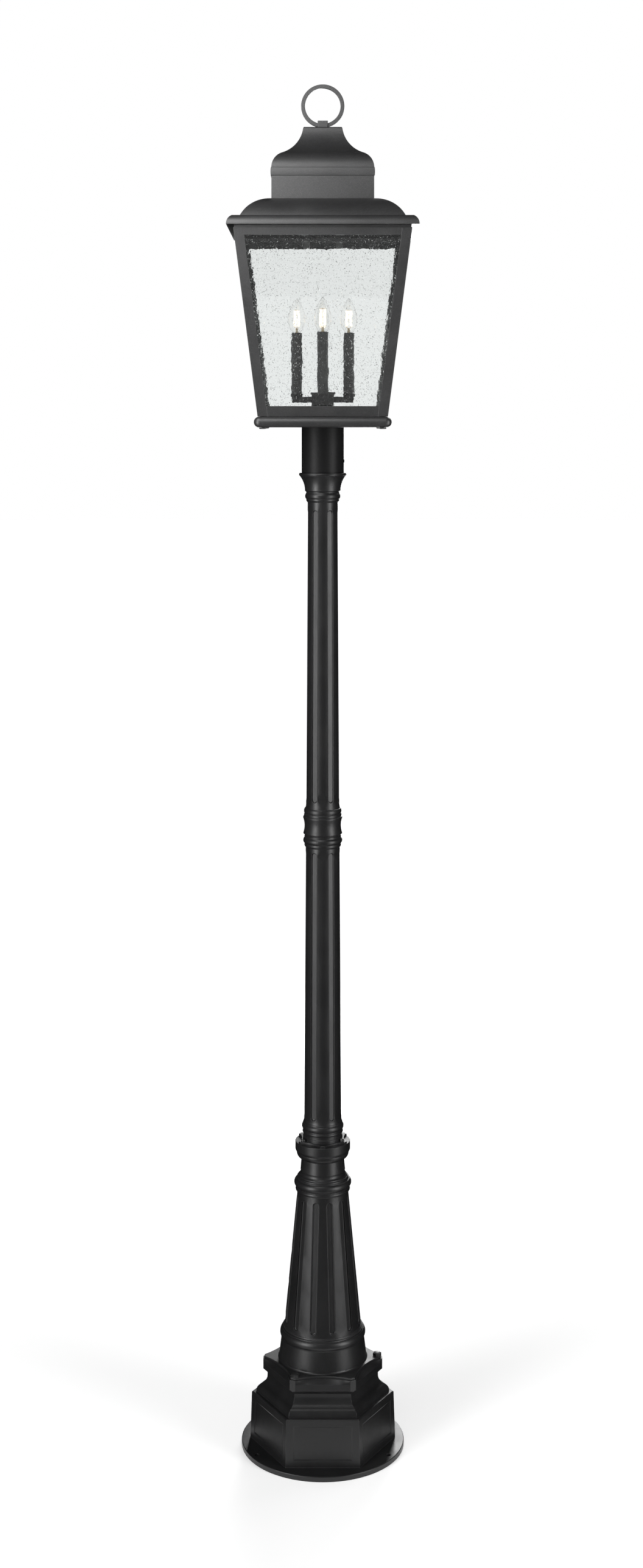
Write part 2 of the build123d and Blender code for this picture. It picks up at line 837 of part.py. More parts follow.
# Set screws that clamp the fitter to the tenon
with BuildPart() as fitter_screws:
    for angle in fitter_screw_angles:
        outward = Vector(1, 0, 0).rotate(Axis.Z, angle)
        tip = outward * (tenon_radius + running_gap) + Vector(0, 0, screw_level)
        tail = outward * (fitter_radius + fitter_screw_proud) + Vector(0, 0, screw_level)
        with BuildSketch(Plane(origin=tip, z_dir=outward)):
            Circle(fitter_screw_shank / 2)
        extrude(amount=(tail - tip).length)
        with BuildSketch(Plane(origin=tail, z_dir=outward)):
            RegularPolygon(fitter_screw_shank / 4, 6)
        extrude(amount=-fitter_screw_key, mode=Mode.SUBTRACT)
fitter_screws.part.label = "fitter_screws"
export_step(fitter_screws.part, "parts/fitter_screws.step")

# Base pan: square tray with bullnose edges, hollow underneath round a central boss
with BuildPart() as base_pan:
    with BuildSketch(Plane.XY.offset(pan_foot)):
        RectangleRounded(2 * pan_half, 2 * pan_half, pan_corner_round)
    extrude(amount=pan_thickness)
    fillet(base_pan.faces().sort_by(Axis.Z)[-1].edges(), pan_edge_round)
    fillet(base_pan.faces().sort_by(Axis.Z)[0].edges(), pan_edge_round)
    with BuildSketch(Plane.XY.offset(pan_foot)):
        Rectangle(2 * pan_pocket_half, 2 * pan_pocket_half)
        Circle(pan_boss_radius, mode=Mode.SUBTRACT)
    extrude(amount=pan_thickness - pan_top_plate, mode=Mode.SUBTRACT)
    with BuildSketch(Plane.XY.offset(pan_foot)):
        Circle(nipple_radius + slip_gap)
        with GridLocations(2 * thumb_offset, 2 * thumb_offset, 2, 2):
            Circle(thumb_shank_radius + screw_gap)
    extrude(amount=pan_thickness, mode=Mode.SUBTRACT)
base_pan.part.label = "base_pan"
export_step(base_pan.part, "parts/base_pan.step")

# Thumb screws, up through the pan's corners into the cage
thumb_places = ((1, -1), (1, 1), (-1, 1), (-1, -1))
for number, (right, back) in enumerate(thumb_places, start=1):
    centre = (right * thumb_offset, back * thumb_offset)
    head_top = pan_foot - running_gap
    with BuildPart() as thumb_screw:
        with BuildSketch(Plane.XY.offset(head_top)):
            with Locations(centre):
                Circle(thumb_head_radius)
        extrude(amount=-thumb_head_height)
        fillet(thumb_screw.faces().sort_by(Axis.Z)[0].edges(), 1.2)
        with BuildSketch(Plane.XY.offset(head_top)):
            with Locations(centre):
                Circle(thumb_shank_radius)
        extrude(amount=running_gap + pan_thickness + thumb_engagement)
    thumb_screw.part.label = f"thumb_screw_{number}"
    export_step(thumb_screw.part, f"parts/thumb_screw_{number}.step")

# Cluster hub: a cup on the pan that holds the wiring, with holes towards the arms
with BuildPart() as cluster_hub:
    with BuildSketch(Plane.XY.offset(pan_top)):
        Circle(hub_radius)
    extrude(amount=hub_height)
    with BuildSketch(Plane.XY.offset(pan_top + hub_wall)):
        Circle(hub_radius - hub_wall)
    extrude(amount=hub_height, mode=Mode.SUBTRACT)
    with BuildSketch(Plane.XY.offset(pan_top)):
        Circle(nipple_radius + slip_gap)
    extrude(amount=hub_wall, mode=Mode.SUBTRACT)
    for angle in candle_angles:
        outward = Vector(1, 0, 0).rotate(Axis.Z, angle)
        with BuildSketch(Plane(origin=(0, 0, arm_foot + arm_size / 2), z_dir=outward)):
            Circle(lead_hole)
        extrude(amount=2 * hub_radius, mode=Mode.SUBTRACT)
cluster_hub.part.label = "cluster_hub"
export_step(cluster_hub.part, "parts/cluster_hub.step")

# Hub cap: a lid with a spigot inside the hub
with BuildPart() as hub_cap:
    with BuildSketch(Plane.XY.offset(hub_top)):
        Circle(hub_cap_radius)
    extrude(amount=hub_cap_height)
    fillet(hub_cap.faces().sort_by(Axis.Z)[-1].edges(), 1.2)
    with BuildSketch(Plane.XY.offset(hub_top - 2.0)):
        Circle(hub_radius - hub_wall - slip_gap)
    extrude(amount=2.0)
hub_cap.part.label = "hub_cap"
export_step(hub_cap.part, "parts/hub_cap.step")

# Hollow nipple and its two nuts, which hold fitter, pan and hub together
nipple_foot = fitter_top - fitter_top_plate - lock_nut_height - nipple_tail
nipple_top = pan_top + hub_wall + lock_nut_height + nipple_tail
with BuildPart() as hub_nipple:
    with BuildSketch(Plane.XY.offset(nipple_foot)):
        Circle(nipple_radius)
        Circle(nipple_bore, mode=Mode.SUBTRACT)
    extrude(amount=nipple_top - nipple_foot)
hub_nipple.part.label = "hub_nipple"
export_step(hub_nipple.part, "parts/hub_nipple.step")

with BuildPart() as lock_nuts:
    for level in (nipple_foot + nipple_tail, pan_top + hub_wall):
        with BuildSketch(Plane.XY.offset(level)):
            RegularPolygon(lock_nut_across / 2, 6, major_radius=False)
            Circle(nipple_radius, mode=Mode.SUBTRACT)
        extrude(amount=lock_nut_height)
lock_nuts.part.label = "lock_nuts"
export_step(lock_nuts.part, "parts/lock_nuts.step")


def candle_point(angle, out, side, height):
    """Point beside a candle arm: out along the arm, to its side, at a height."""
    return Vector(out, side, height).rotate(Axis.Z, angle)


# Arms: square tubes with closed ends, one for each candle
with BuildPart() as cluster_arms:
    for angle in candle_angles:
        outward = Vector(1, 0, 0).rotate(Axis.Z, angle)
        middle = Vector(0, 0, arm_foot + arm_size / 2)
        with BuildSketch(Plane(origin=middle, x_dir=(0, 0, 1), z_dir=outward)):
            Rectangle(arm_size, arm_size)
        extrude(amount=arm_reach)
    for angle in candle_angles:
        outward = Vector(1, 0, 0).rotate(Axis.Z, angle)
        middle = Vector(0, 0, arm_foot + arm_size / 2)
        with BuildSketch(Plane(origin=middle, x_dir=(0, 0, 1), z_dir=outward)):
            Rectangle(arm_size - 2 * arm_wall, arm_size - 2 * arm_wall)
        extrude(amount=arm_reach - arm_wall, mode=Mode.SUBTRACT)
    with BuildSketch(Plane.XY.offset(arm_foot)):
        Circle(hub_radius)
    extrude(amount=arm_size, mode=Mode.SUBTRACT)
    with BuildSketch(Plane.XY.offset(arm_top - arm_wall)):
        with PolarLocations(candle_offset, len(candle_angles)):
            Circle(post_rod_radius + slip_gap)
    extrude(amount=arm_wall, mode=Mode.SUBTRACT)
cluster_arms.part.label = "cluster_arms"
export_step(cluster_arms.part, "parts/cluster_arms.step")

# Candle cups under the sleeves
with BuildPart() as candle_cups:
    for angle in candle_angles:
        centre = candle_point(angle, candle_offset, 0, 0)
        with BuildSketch(Plane.XY.offset(arm_top)):
            with Locations((centre.X, centre.Y)):
                Circle(cup_foot_radius)
        with BuildSketch(Plane.XY.offset(arm_top + cup_height)):
            with Locations((centre.X, centre.Y)):
                Circle(cup_lip_radius)
        loft(ruled=True)
    with BuildSketch(Plane.XY.offset(sleeve_foot)):
        with PolarLocations(candle_offset, len(candle_angles)):
            Circle(sleeve_radius + slip_gap)
    extrude(amount=cup_height, mode=Mode.SUBTRACT)
    with BuildSketch(Plane.XY.offset(arm_top)):
        with PolarLocations(candle_offset, len(candle_angles)):
            Circle(post_rod_radius + slip_gap)
    extrude(amount=cup_floor, mode=Mode.SUBTRACT)
candle_cups.part.label = "candle_cups"
export_step(candle_cups.part, "parts/candle_cups.step")

# Candle sleeves
with BuildPart() as candle_sleeves:
    with BuildSketch(Plane.XY.offset(sleeve_foot)):
        with PolarLocations(candle_offset, len(candle_angles)):
            Circle(sleeve_radius)
            Circle(sleeve_radius - sleeve_wall, mode=Mode.SUBTRACT)
    extrude(amount=sleeve_length)
candle_sleeves.part.label = "candle_sleeves"
export_step(candle_sleeves.part, "parts/candle_sleeves.step")

# Hollow rods that carry the sockets inside the sleeves
with BuildPart() as socket_rods:
    with BuildSketch(Plane.XY.offset(socket_foot - post_rod_length)):
        with PolarLocations(candle_offset, len(candle_angles)):
            Circle(post_rod_radius)
            Circle(post_rod_bore, mode=Mode.SUBTRACT)
    extrude(amount=post_rod_length)
socket_rods.part.label = "socket_rods"
export_step(socket_rods.part, "parts/socket_rods.step")

# Insulating socket bodies, with a hole for the leads in the floor
with BuildPart() as lamp_sockets:
    with BuildSketch(Plane.XY.offset(socket_foot)):
        with PolarLocations(candle_offset, len(candle_angles)):
            Circle(socket_body_radius)
    extrude(amount=socket_body_height)
    with BuildSketch(Plane.XY.offset(socket_foot + socket_floor)):
        with PolarLocations(candle_offset, len(candle_angles)):
            Circle(shell_radius + slip_gap)
    extrude(amount=socket_body_height, mode=Mode.SUBTRACT)
lamp_sockets.part.label = "lamp_sockets"
export_step(lamp_sockets.part, "parts/lamp_sockets.step")

# Metal screw shells that line the sockets
with BuildPart() as socket_shells:
    with BuildSketch(Plane.XY.offset(socket_foot + socket_floor)):
        with PolarLocations(candle_offset, len(candle_angles)):
            Circle(shell_radius)
            Circle(shell_radius - shell_wall, mode=Mode.SUBTRACT)
    extrude(amount=socket_body_height - socket_floor - shell_inset)
socket_shells.part.label = "socket_shells"
export_step(socket_shells.part, "parts/socket_shells.step")

# Bulbs: flame envelope, screw cap and the filament assembly inside
glass_foot = bulb_seat + cap_skirt_height
bulb_tip = glass_foot + bulb_length
belly = glass_foot + bulb_belly_height
shoulder = glass_foot + bulb_shoulder_height


def flame_outline(inset):
    """Flame outline of the envelope, drawn in by the inset."""
    return [
        (bulb_neck_radius - inset, glass_foot - bulb_seat_depth, 0),
        (bulb_neck_radius - inset, glass_foot + 1.0, 2.9),
        (bulb_radius - inset, belly, 2.0),
        (bulb_shoulder_radius - inset, shoulder, 0.8),
        (bulb_tip_radius - inset, bulb_tip - 1.0 - inset, 0),
        (0, bulb_tip - inset, 0),
    ]


for number, angle in enumerate(candle_angles, start=1):
    middle = candle_point(angle, candle_offset, 0, 0)
    candle_axis = Axis((middle.X, middle.Y, 0), (0, 0, 1))
    with BuildPart() as bulb_glass:
        with BuildSketch(side_plane(angle)):
            with BuildLine():
                rising_edge(flame_outline(0), candle_offset)
            make_face()
        revolve(axis=candle_axis)
        with BuildSketch(side_plane(angle)):
            with BuildLine():
                rising_edge(flame_outline(bulb_wall), candle_offset)
            make_face()
        revolve(axis=candle_axis, mode=Mode.SUBTRACT)
    bulb_glass.part.label = f"bulb_glass_{number}"
    export_step(bulb_glass.part, f"parts/bulb_glass_{number}.step")

    with BuildPart() as bulb_cap:
        with BuildSketch(Plane.XY.offset(bulb_seat - cap_length)):
            with Locations((middle.X, middle.Y)):
                Circle(cap_radius)
        extrude(amount=cap_length)
        with BuildSketch(Plane.XY.offset(bulb_seat)):
            with Locations((middle.X, middle.Y)):
                Circle(cap_skirt_radius)
        extrude(amount=cap_skirt_height)
        with BuildSketch(Plane.XY.offset(glass_foot - bulb_seat_depth)):
            with Locations((middle.X, middle.Y)):
                Circle(bulb_neck_radius)
        extrude(amount=bulb_seat_depth, mode=Mode.SUBTRACT)
        with BuildSketch(Plane.XY.offset(bulb_seat - cap_length)):
            with Locations((middle.X, middle.Y)):
                Circle(contact_radius)
        extrude(amount=-contact_height)
    bulb_cap.part.label = f"bulb_cap_{number}"
    export_step(bulb_cap.part, f"parts/bulb_cap_{number}.step")

    stem_top = glass_foot - bulb_seat_depth + stem_height
    with BuildPart() as bulb_filament:
        with BuildSketch(Plane.XY.offset(glass_foot - bulb_seat_depth)):
            with Locations((middle.X, middle.Y)):
                Circle(stem_radius)
        extrude(amount=stem_height)
        with BuildSketch(Plane.XY.offset(stem_top)):
            with Locations((middle.X, middle.Y)):
                Circle(spider_radius)
        extrude(amount=spider_height)
        with BuildSketch(Plane.XY.offset(stem_top + spider_height)):
            with Locations((middle.X, middle.Y)):
                with PolarLocations(filament_circle / 2, filament_count, 45):
                    Circle(filament_radius)
        extrude(amount=filament_length)
        with BuildSketch(Plane.XY.offset(stem_top + spider_height + filament_length)):
            with Locations((middle.X, middle.Y)):
                Circle(spider_radius)
        extrude(amount=spider_height)
    bulb_filament.part.label = f"bulb_filament_{number}"
    export_step(bulb_filament.part, f"parts/bulb_filament_{number}.step")

# Wiring: a live and a neutral lead from each socket to the splice inside the hub
lead_level = arm_foot + arm_size / 2
splice_foot = lead_level - splice_height / 2


def lead_tubes(side):
    """One lead for each candle, kept to one side of its arm."""
    with BuildPart() as leads:
        for angle in candle_angles:
            path_start = candle_point(angle, candle_offset, side, socket_foot)
            path_turn = candle_point(angle, candle_offset, side, lead_level)
            path_end = candle_point(angle, sqrt(splice_radius ** 2 - side ** 2), side, lead_level)
            with BuildLine() as route:
                FilletPolyline(path_start, path_turn, path_end, radius=lead_bend)
            with BuildSketch(Plane(origin=path_start, z_dir=(0, 0, -1))):
                Circle(lead_radius)
            sweep(path=route.line)
    return leads.part


live_leads = lead_tubes(lead_offset)
live_leads.label = "live_leads"
export_step(live_leads, "parts/live_leads.step")

neutral_leads = lead_tubes(-lead_offset)
neutral_leads.label = "neutral_leads"
export_step(neutral_leads, "parts/neutral_leads.step")

# Splice block in the hub and the two supply leads that hang into the tenon
with BuildPart() as splice_block:
    with BuildSketch(Plane.XY.offset(splice_foot)):
        Circle(splice_radius)
    extrude(amount=splice_height)
splice_block.part.label = "splice_block"
export_step(splice_block.part, "parts/splice_block.step")

supply_end = nipple_foot - supply_drop
with BuildPart() as supply_leads:
    with BuildSketch(Plane.XY.offset(supply_end)):
        with GridLocations(supply_spacing, 0, 2, 1):
            Circle(lead_radius)
    extrude(amount=splice_foot - supply_end)
supply_leads.part.label = "supply_leads"
export_step(supply_leads.part, "parts/supply_leads.step")

# Earth screw and lead under the fitter's top plate
plate_under = fitter_top - fitter_top_plate
with BuildPart() as ground_screw:
    with BuildSketch(Plane.XY.offset(plate_under)):
        with Locations((ground_offset, 0)):
            Circle(ground_screw_radius)
    extrude(amount=-ground_screw_height)
ground_screw.part.label = "ground_screw"
export_step(ground_screw.part, "parts/ground_screw.step")

with BuildPart() as ground_lead:
    with BuildSketch(Plane.XY.offset(plate_under - ground_screw_height)):
        with Locations((ground_offset, 0)):
            Circle(lead_radius)
    extrude(amount=supply_end - plate_under + ground_screw_height)
ground_lead.part.label = "ground_lead"
export_step(ground_lead.part, "parts/ground_lead.step")

# Glazed cage: four sides that lean outward as they rise
cage_lean = (cage_top_half - cage_foot_half) / cage_height


def cage_half(height):
    """Half width over the cage's outer faces at a height."""
    return cage_foot_half + cage_lean * (height - cage_foot)


def level_plane(height, angle):
    """Level plane at a height, its x axis pointing at this angle."""
    return Plane(origin=(0, 0, height), x_dir=Vector(1, 0, 0).rotate(Axis.Z, angle), z_dir=(0, 0, 1))


def leaning_bar(angle, low, high, side_gap, inset, depth):
    """Flat bar on one leaning side, its ends a fixed gap from the corners."""
    with BuildPart() as bar:
        for level in (low, high):
            reach = cage_half(level)
            with BuildSketch(level_plane(level, angle)):
                with Locations((reach - inset - depth / 2, 0)):
                    Rectangle(depth, 2 * (reach - side_gap))
        loft(ruled=True)
    return bar.part


cage_angles = (270.0, 0.0, 90.0, 180.0)
cage_names = ("front", "right", "back", "left")

with BuildPart() as corner_stiles:
    for angle in cage_angles:
        for level in (cage_foot, cage_top):
            half = cage_half(level)
            with BuildSketch(level_plane(level, angle)):
                with BuildLine():
                    Polyline(
                        (half, half),
                        (half - stile_width, half),
                        (half - stile_width, half - frame_wall),
                        (half - frame_wall, half - frame_wall),
                        (half - frame_wall, half - stile_width),
                        (half, half - stile_width),
                        (half, half),
                    )
                make_face()
        loft(ruled=True)
corner_stiles.part.label = "corner_stiles"
export_step(corner_stiles.part, "parts/corner_stiles.step")

# Blocks in the foot of each corner that the thumb screws reach
with BuildPart() as corner_blocks:
    block_start = thumb_offset - foot_block / 2
    for angle in cage_angles:
        for level in (cage_foot, cage_foot + foot_block_height):
            block_size = cage_half(level) - frame_wall - block_start
            with BuildSketch(level_plane(level, angle)):
                with Locations((block_start, block_start)):
                    Rectangle(block_size, block_size, align=(Align.MIN, Align.MIN))
        loft(ruled=True)
    with BuildSketch(Plane.XY.offset(cage_foot)):
        with GridLocations(2 * thumb_offset, 2 * thumb_offset, 2, 2):
            Circle(thumb_shank_radius + screw_gap)
    extrude(amount=foot_block_height, mode=Mode.SUBTRACT)
corner_blocks.part.label = "corner_blocks"
export_step(corner_blocks.part, "parts/corner_blocks.step")

with BuildPart() as bottom_rails:
    for angle in cage_angles:
        add(leaning_bar(angle, cage_foot, cage_foot + bottom_rail, stile_width, 0, frame_wall))
bottom_rails.part.label = "bottom_rails"
export_step(bottom_rails.part, "parts/bottom_rails.step")

with BuildPart() as top_rails:
    for angle in cage_angles:
        add(leaning_bar(angle, cage_top - top_rail, cage_top, stile_width, 0, frame_wall))
top_rails.part.label = "top_rails"
export_step(top_rails.part, "parts/top_rails.step")

glass_low = cage_foot + bottom_rail - glass_foot_lap
glass_high = cage_top - top_rail + glass_top_lap
glass_inset = frame_wall + glass_seat
for angle, name in zip(cage_angles, cage_names):
    side_gap = stile_width - glass_side_lap
    glass_pane = leaning_bar(angle, glass_low, glass_high, side_gap, glass_inset, glass_thickness)
    glass_pane.label = f"glass_{name}"
    export_step(glass_pane, f"parts/glass_{name}.step")

# Bent clips that hold each pane's foot and head against the rails
clip_back = glass_inset + glass_thickness + glass_seat
with BuildPart() as glass_clips:
    for angle in cage_angles:
        for side in (-clip_spread / 2, clip_spread / 2):
            base = side_plane(angle)
            place = base.offset(side - clip_width / 2)
            foot_low = cage_foot + clip_foot_gap
            foot_high = glass_low - glass_seat
            tab_top = cage_foot + bottom_rail
            with BuildSketch(place):
                with BuildLine():
                    Polyline(
                        (cage_half(foot_low) - frame_wall, foot_low),
                        (cage_half(foot_high) - frame_wall, foot_high),
                        (cage_half(foot_high) - clip_back, foot_high),
                        (cage_half(tab_top) - clip_back, tab_top),
                        (cage_half(tab_top) - clip_back - clip_metal, tab_top),
                        (cage_half(foot_low) - clip_back - clip_metal, foot_low),
                        (cage_half(foot_low) - frame_wall, foot_low),
                    )
                make_face()
            extrude(amount=clip_width)
            head_low = glass_high + glass_seat
            tab_foot = cage_top - top_rail
            with BuildSketch(place):
                with BuildLine():
                    Polyline(
                        (cage_half(cage_top) - frame_wall, cage_top),
                        (cage_half(head_low) - frame_wall, head_low),
                        (cage_half(head_low) - clip_back, head_low),
                        (cage_half(tab_foot) - clip_back, tab_foot),
                        (cage_half(tab_foot) - clip_back - clip_metal, tab_foot),
                        (cage_half(cage_top) - clip_back - clip_metal, cage_top),
                        (cage_half(cage_top) - frame_wall, cage_top),
                    )
                make_face()
            extrude(amount=clip_width)
glass_clips.part.label = "glass_clips"
export_step(glass_clips.part, "parts/glass_clips.step")

# Eave: a fascia on the cage and an ovolo moulding that overhangs it
with BuildPart() as eave:
    add(sided(
        [
            (fascia_half, cage_top, 0),
            (fascia_half, eave_foot, 0),
            (eave_half, eave_foot, eave_bulge),
            (eave_top_half, eave_top, 0),
        ],
        square_sides,
        2 * eave_half,
    ))
    add(
        sided(
            [
                (fascia_half - fascia_wall, cage_top - 1.0, 0),
                (fascia_half - fascia_wall, eave_foot + sheet, 0),
                (eave_half - sheet - 1.0, eave_foot + sheet, eave_bulge * 0.6),
                (eave_top_half - sheet - 1.0, eave_top - sheet, 0),
                (bell_half - 2 * sheet, eave_top - sheet, 0),
                (bell_half - 2 * sheet, eave_top + 1.0, 0),
            ],
            square_sides,
            2 * eave_half,
        ),
        mode=Mode.SUBTRACT,
    )
eave.part.label = "eave"
export_step(eave.part, "parts/eave.step")

# Bell: the convex lower roof
with BuildPart() as bell_roof:
    add(sided(
        [(bell_half, eave_top, bell_bulge), (bell_top_half, bell_top, 0)],
        square_sides,
        2 * bell_half,
    ))
    add(
        sided(
            [
                (bell_half - sheet, eave_top - 1.0, 0),
                (bell_half - sheet, eave_top, bell_bulge * 0.9),
                (chimney_half - sheet, bell_top - sheet, 0),
                (chimney_half - chimney_lip, bell_top - sheet, 0),
                (chimney_half - chimney_lip, bell_top + 1.0, 0),
            ],
            square_sides,
            2 * bell_half,
        ),
        mode=Mode.SUBTRACT,
    )
bell_roof.part.label = "bell_roof"
export_step(bell_roof.part, "parts/bell_roof.step")

# Chimney: a square box with a lip top and bottom
with BuildPart() as chimney:
    with BuildSketch(Plane.XY.offset(bell_top)):
        Rectangle(2 * chimney_half, 2 * chimney_half)
    extrude(amount=chimney_height)
    with BuildSketch(Plane.XY.offset(bell_top + sheet)):
        Rectangle(2 * (chimney_half - sheet), 2 * (chimney_half - sheet))
    extrude(amount=chimney_height - 2 * sheet, mode=Mode.SUBTRACT)
    with BuildSketch(Plane.XY.offset(bell_top)):
        Rectangle(2 * (chimney_half - chimney_lip), 2 * (chimney_half - chimney_lip))
    extrude(amount=chimney_height, mode=Mode.SUBTRACT)
chimney.part.label = "chimney"
export_step(chimney.part, "parts/chimney.step")

# Vent cap: a rounded band and an ogee up to a flat top
cap_inner_top = cap_top - 2 * sheet
with BuildPart() as vent_cap:
    add(sided(
        [
            (cap_band_half - 0.6, chimney_top, 0.6),
            (cap_band_half - 0.8, cap_band_top, 0),
            (cap_band_half - 1.6, cap_band_top + 0.5, cap_shoulder_bulge),
            (cap_shoulder_half, cap_shoulder, -cap_neck_bulge),
            (cap_neck_half, cap_neck, 0),
            (cap_top_half, cap_top, 0),
        ],
        square_sides,
        2 * cap_band_half,
    ))
    add(
        sided(
            [
                (cap_band_half - cap_band_lap, chimney_top - 1.0, 0),
                (cap_band_half - cap_band_lap, cap_band_top, cap_shoulder_bulge * 0.7),
                (cap_shoulder_half - 2 * sheet, cap_shoulder - sheet, -cap_neck_bulge),
                (cap_neck_half - sheet, cap_neck - 4 * sheet, 0),
                (cap_neck_half - sheet, cap_inner_top, 0),
            ],
            square_sides,
            2 * cap_band_half,
        ),
        mode=Mode.SUBTRACT,
    )
    with BuildSketch(Plane.XY.offset(cap_inner_top - 1.0)):
        Circle(finial_screw_radius + screw_gap)
    extrude(amount=3 * sheet, mode=Mode.SUBTRACT)
vent_cap.part.label = "vent_cap"
export_step(vent_cap.part, "parts/vent_cap.step")

# Finial: a block on the cap, a screw from inside, and a ring cut to fit the block
screw_reach = finial_screw_length - (cap_top - cap_inner_top)
with BuildPart() as finial_block:
    with BuildSketch(Plane.XY.offset(cap_top)):
        Rectangle(finial_width, finial_depth)
    extrude(amount=finial_height)
    fillet(finial_block.edges().filter_by(Axis.Z), finial_edge_round)
    fillet(finial_block.faces().sort_by(Axis.Z)[-1].edges(), finial_edge_round)
    with BuildSketch(Plane.XY.offset(cap_top)):
        Circle(finial_screw_radius + slip_gap)
    extrude(amount=screw_reach + 1.0, mode=Mode.SUBTRACT)
finial_block.part.label = "finial_block"
export_step(finial_block.part, "parts/finial_block.step")

with BuildPart() as finial_screw:
    with BuildSketch(Plane.XY.offset(cap_inner_top - finial_screw_head_height)):
        Circle(finial_screw_head)
    extrude(amount=finial_screw_head_height)
    with BuildSketch(Plane.XY.offset(cap_inner_top)):
        Circle(finial_screw_radius)
    extrude(amount=finial_screw_length)
finial_screw.part.label = "finial_screw"
export_step(finial_screw.part, "parts/finial_screw.step")

with BuildPart() as finial_ring:
    with BuildSketch(Plane.XZ):
        with Locations((0, ring_centre)):
            Circle(ring_radius)
            Circle(ring_radius - ring_bar, mode=Mode.SUBTRACT)
        with Locations((0, cap_top)):
            Rectangle(finial_width, ring_rise, align=(Align.CENTER, Align.MIN), mode=Mode.SUBTRACT)
    extrude(amount=ring_depth / 2, both=True)
    chamfer(finial_ring.edges().filter_by(GeomType.CIRCLE), 0.5)
finial_ring.part.label = "finial_ring"
export_step(finial_ring.part, "parts/finial_ring.step")
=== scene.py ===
from math import cos, radians, sin, sqrt, tau

import bmesh
import bpy
from bpy.props import FloatProperty, FloatVectorProperty, IntProperty, PointerProperty
from bpy.types import Operator, Panel, PropertyGroup
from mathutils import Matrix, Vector


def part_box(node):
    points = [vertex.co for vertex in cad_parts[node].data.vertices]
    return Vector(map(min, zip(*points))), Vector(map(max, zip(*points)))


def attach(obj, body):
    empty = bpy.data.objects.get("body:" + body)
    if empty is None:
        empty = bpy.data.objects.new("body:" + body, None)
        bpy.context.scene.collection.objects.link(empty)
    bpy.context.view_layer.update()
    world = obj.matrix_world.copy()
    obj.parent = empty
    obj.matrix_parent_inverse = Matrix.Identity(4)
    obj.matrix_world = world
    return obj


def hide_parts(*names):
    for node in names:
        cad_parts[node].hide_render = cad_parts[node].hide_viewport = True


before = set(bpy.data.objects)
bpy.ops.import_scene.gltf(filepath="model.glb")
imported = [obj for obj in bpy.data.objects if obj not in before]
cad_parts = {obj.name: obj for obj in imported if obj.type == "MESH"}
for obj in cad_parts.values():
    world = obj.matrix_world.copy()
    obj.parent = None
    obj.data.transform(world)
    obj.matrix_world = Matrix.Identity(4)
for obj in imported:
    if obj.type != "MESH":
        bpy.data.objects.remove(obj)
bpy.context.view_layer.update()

bl_info = {
    "name": "Post Light",
    "version": (1, 0, 0),
    "blender": (4, 5, 0),
    "location": "View3D > Sidebar > Post Light",
    "description": "Finishes and fine pieces for a four-light post light",
    "category": "Object",
}

# Groups of pieces that share a finish
POST_CASTINGS = ("pedestal", "base_column", "lower_pole", "upper_pole", "capital")
SHEET_METAL = (
    "base_pan",
    "corner_stiles",
    "corner_blocks",
    "bottom_rails",
    "top_rails",
    "eave",
    "bell_roof",
    "chimney",
    "vent_cap",
    "finial_block",
    "finial_ring",
)
CLUSTER_METAL = ("cluster_hub", "hub_cap", "cluster_arms", "candle_cups")
PANES = ("glass_front", "glass_right", "glass_back", "glass_left")
PLATED_STEEL = (
    "tenon",
    "pole_joiner",
    "hub_nipple",
    "lock_nuts",
    "socket_rods",
    "glass_clips",
    "finial_screw",
)

# Places of the bolts, as circles in metres and angles in degrees
FOOT_BOLT_CIRCLE = 0.1115
FOOT_BOLT_TURNS = (0.0, 120.0, 240.0)
CROWN_BOLT_CIRCLE = 0.0455
CROWN_BOLT_TURNS = (90.0, 210.0, 330.0)

# The studio, in metres and degrees
CAMERA_SHIFT = (-0.0008, -0.2321)
FLOOR_RADII = (1.0, 4.0, 12.0, 40.0)
FLOOR_STEPS = 72
SCREEN_HEIGHT = 3.6
SCREEN_STEPS = 72
CLOTH_LEVEL = 0.002
CLOTH_INNER = 0.2
CLOTH_FRONT_INNER = 0.42
CLOTH_FRONT_SPREAD = 50.2
TALL_BOX = {"distance": 3.4, "level": 1.55}
TALL_BOX_HEIGHT = 2.9
LANTERN_BOX_SIZE = (1.0, 0.8)
LANTERN_BOX_DIP = 25.0


class PostLightFinish(PropertyGroup):
    """Colours of the paints, glass and lamps."""

    post_paint: FloatVectorProperty(
        name="Post paint",
        description="Colour of the satin paint on the cast post",
        subtype="COLOR",
        size=4,
        min=0.0,
        max=1.0,
        default=(0.0085, 0.0085, 0.0088, 1.0),
    )
    powder_dark: FloatVectorProperty(
        name="Powder coat, hollows",
        description="Colour in the hollows of the lantern's powder coat",
        subtype="COLOR",
        size=4,
        min=0.0,
        max=1.0,
        default=(0.0110, 0.0110, 0.0113, 1.0),
    )
    powder_light: FloatVectorProperty(
        name="Powder coat, grains",
        description="Colour of the raised grains of the lantern's powder coat",
        subtype="COLOR",
        size=4,
        min=0.0,
        max=1.0,
        default=(0.0420, 0.0420, 0.0428, 1.0),
    )
    glass_tint: FloatVectorProperty(
        name="Pane glass",
        description="Colour of the light that comes through a clear part of a pane",
        subtype="COLOR",
        size=4,
        min=0.0,
        max=1.0,
        default=(0.910, 0.925, 0.920, 1.0),
    )
    glow: FloatVectorProperty(
        name="Lamp glow",
        description="Colour of the lit filament sticks",
        subtype="COLOR",
        size=4,
        min=0.0,
        max=1.0,
        default=(0.66, 0.47, 0.20, 1.0),
    )


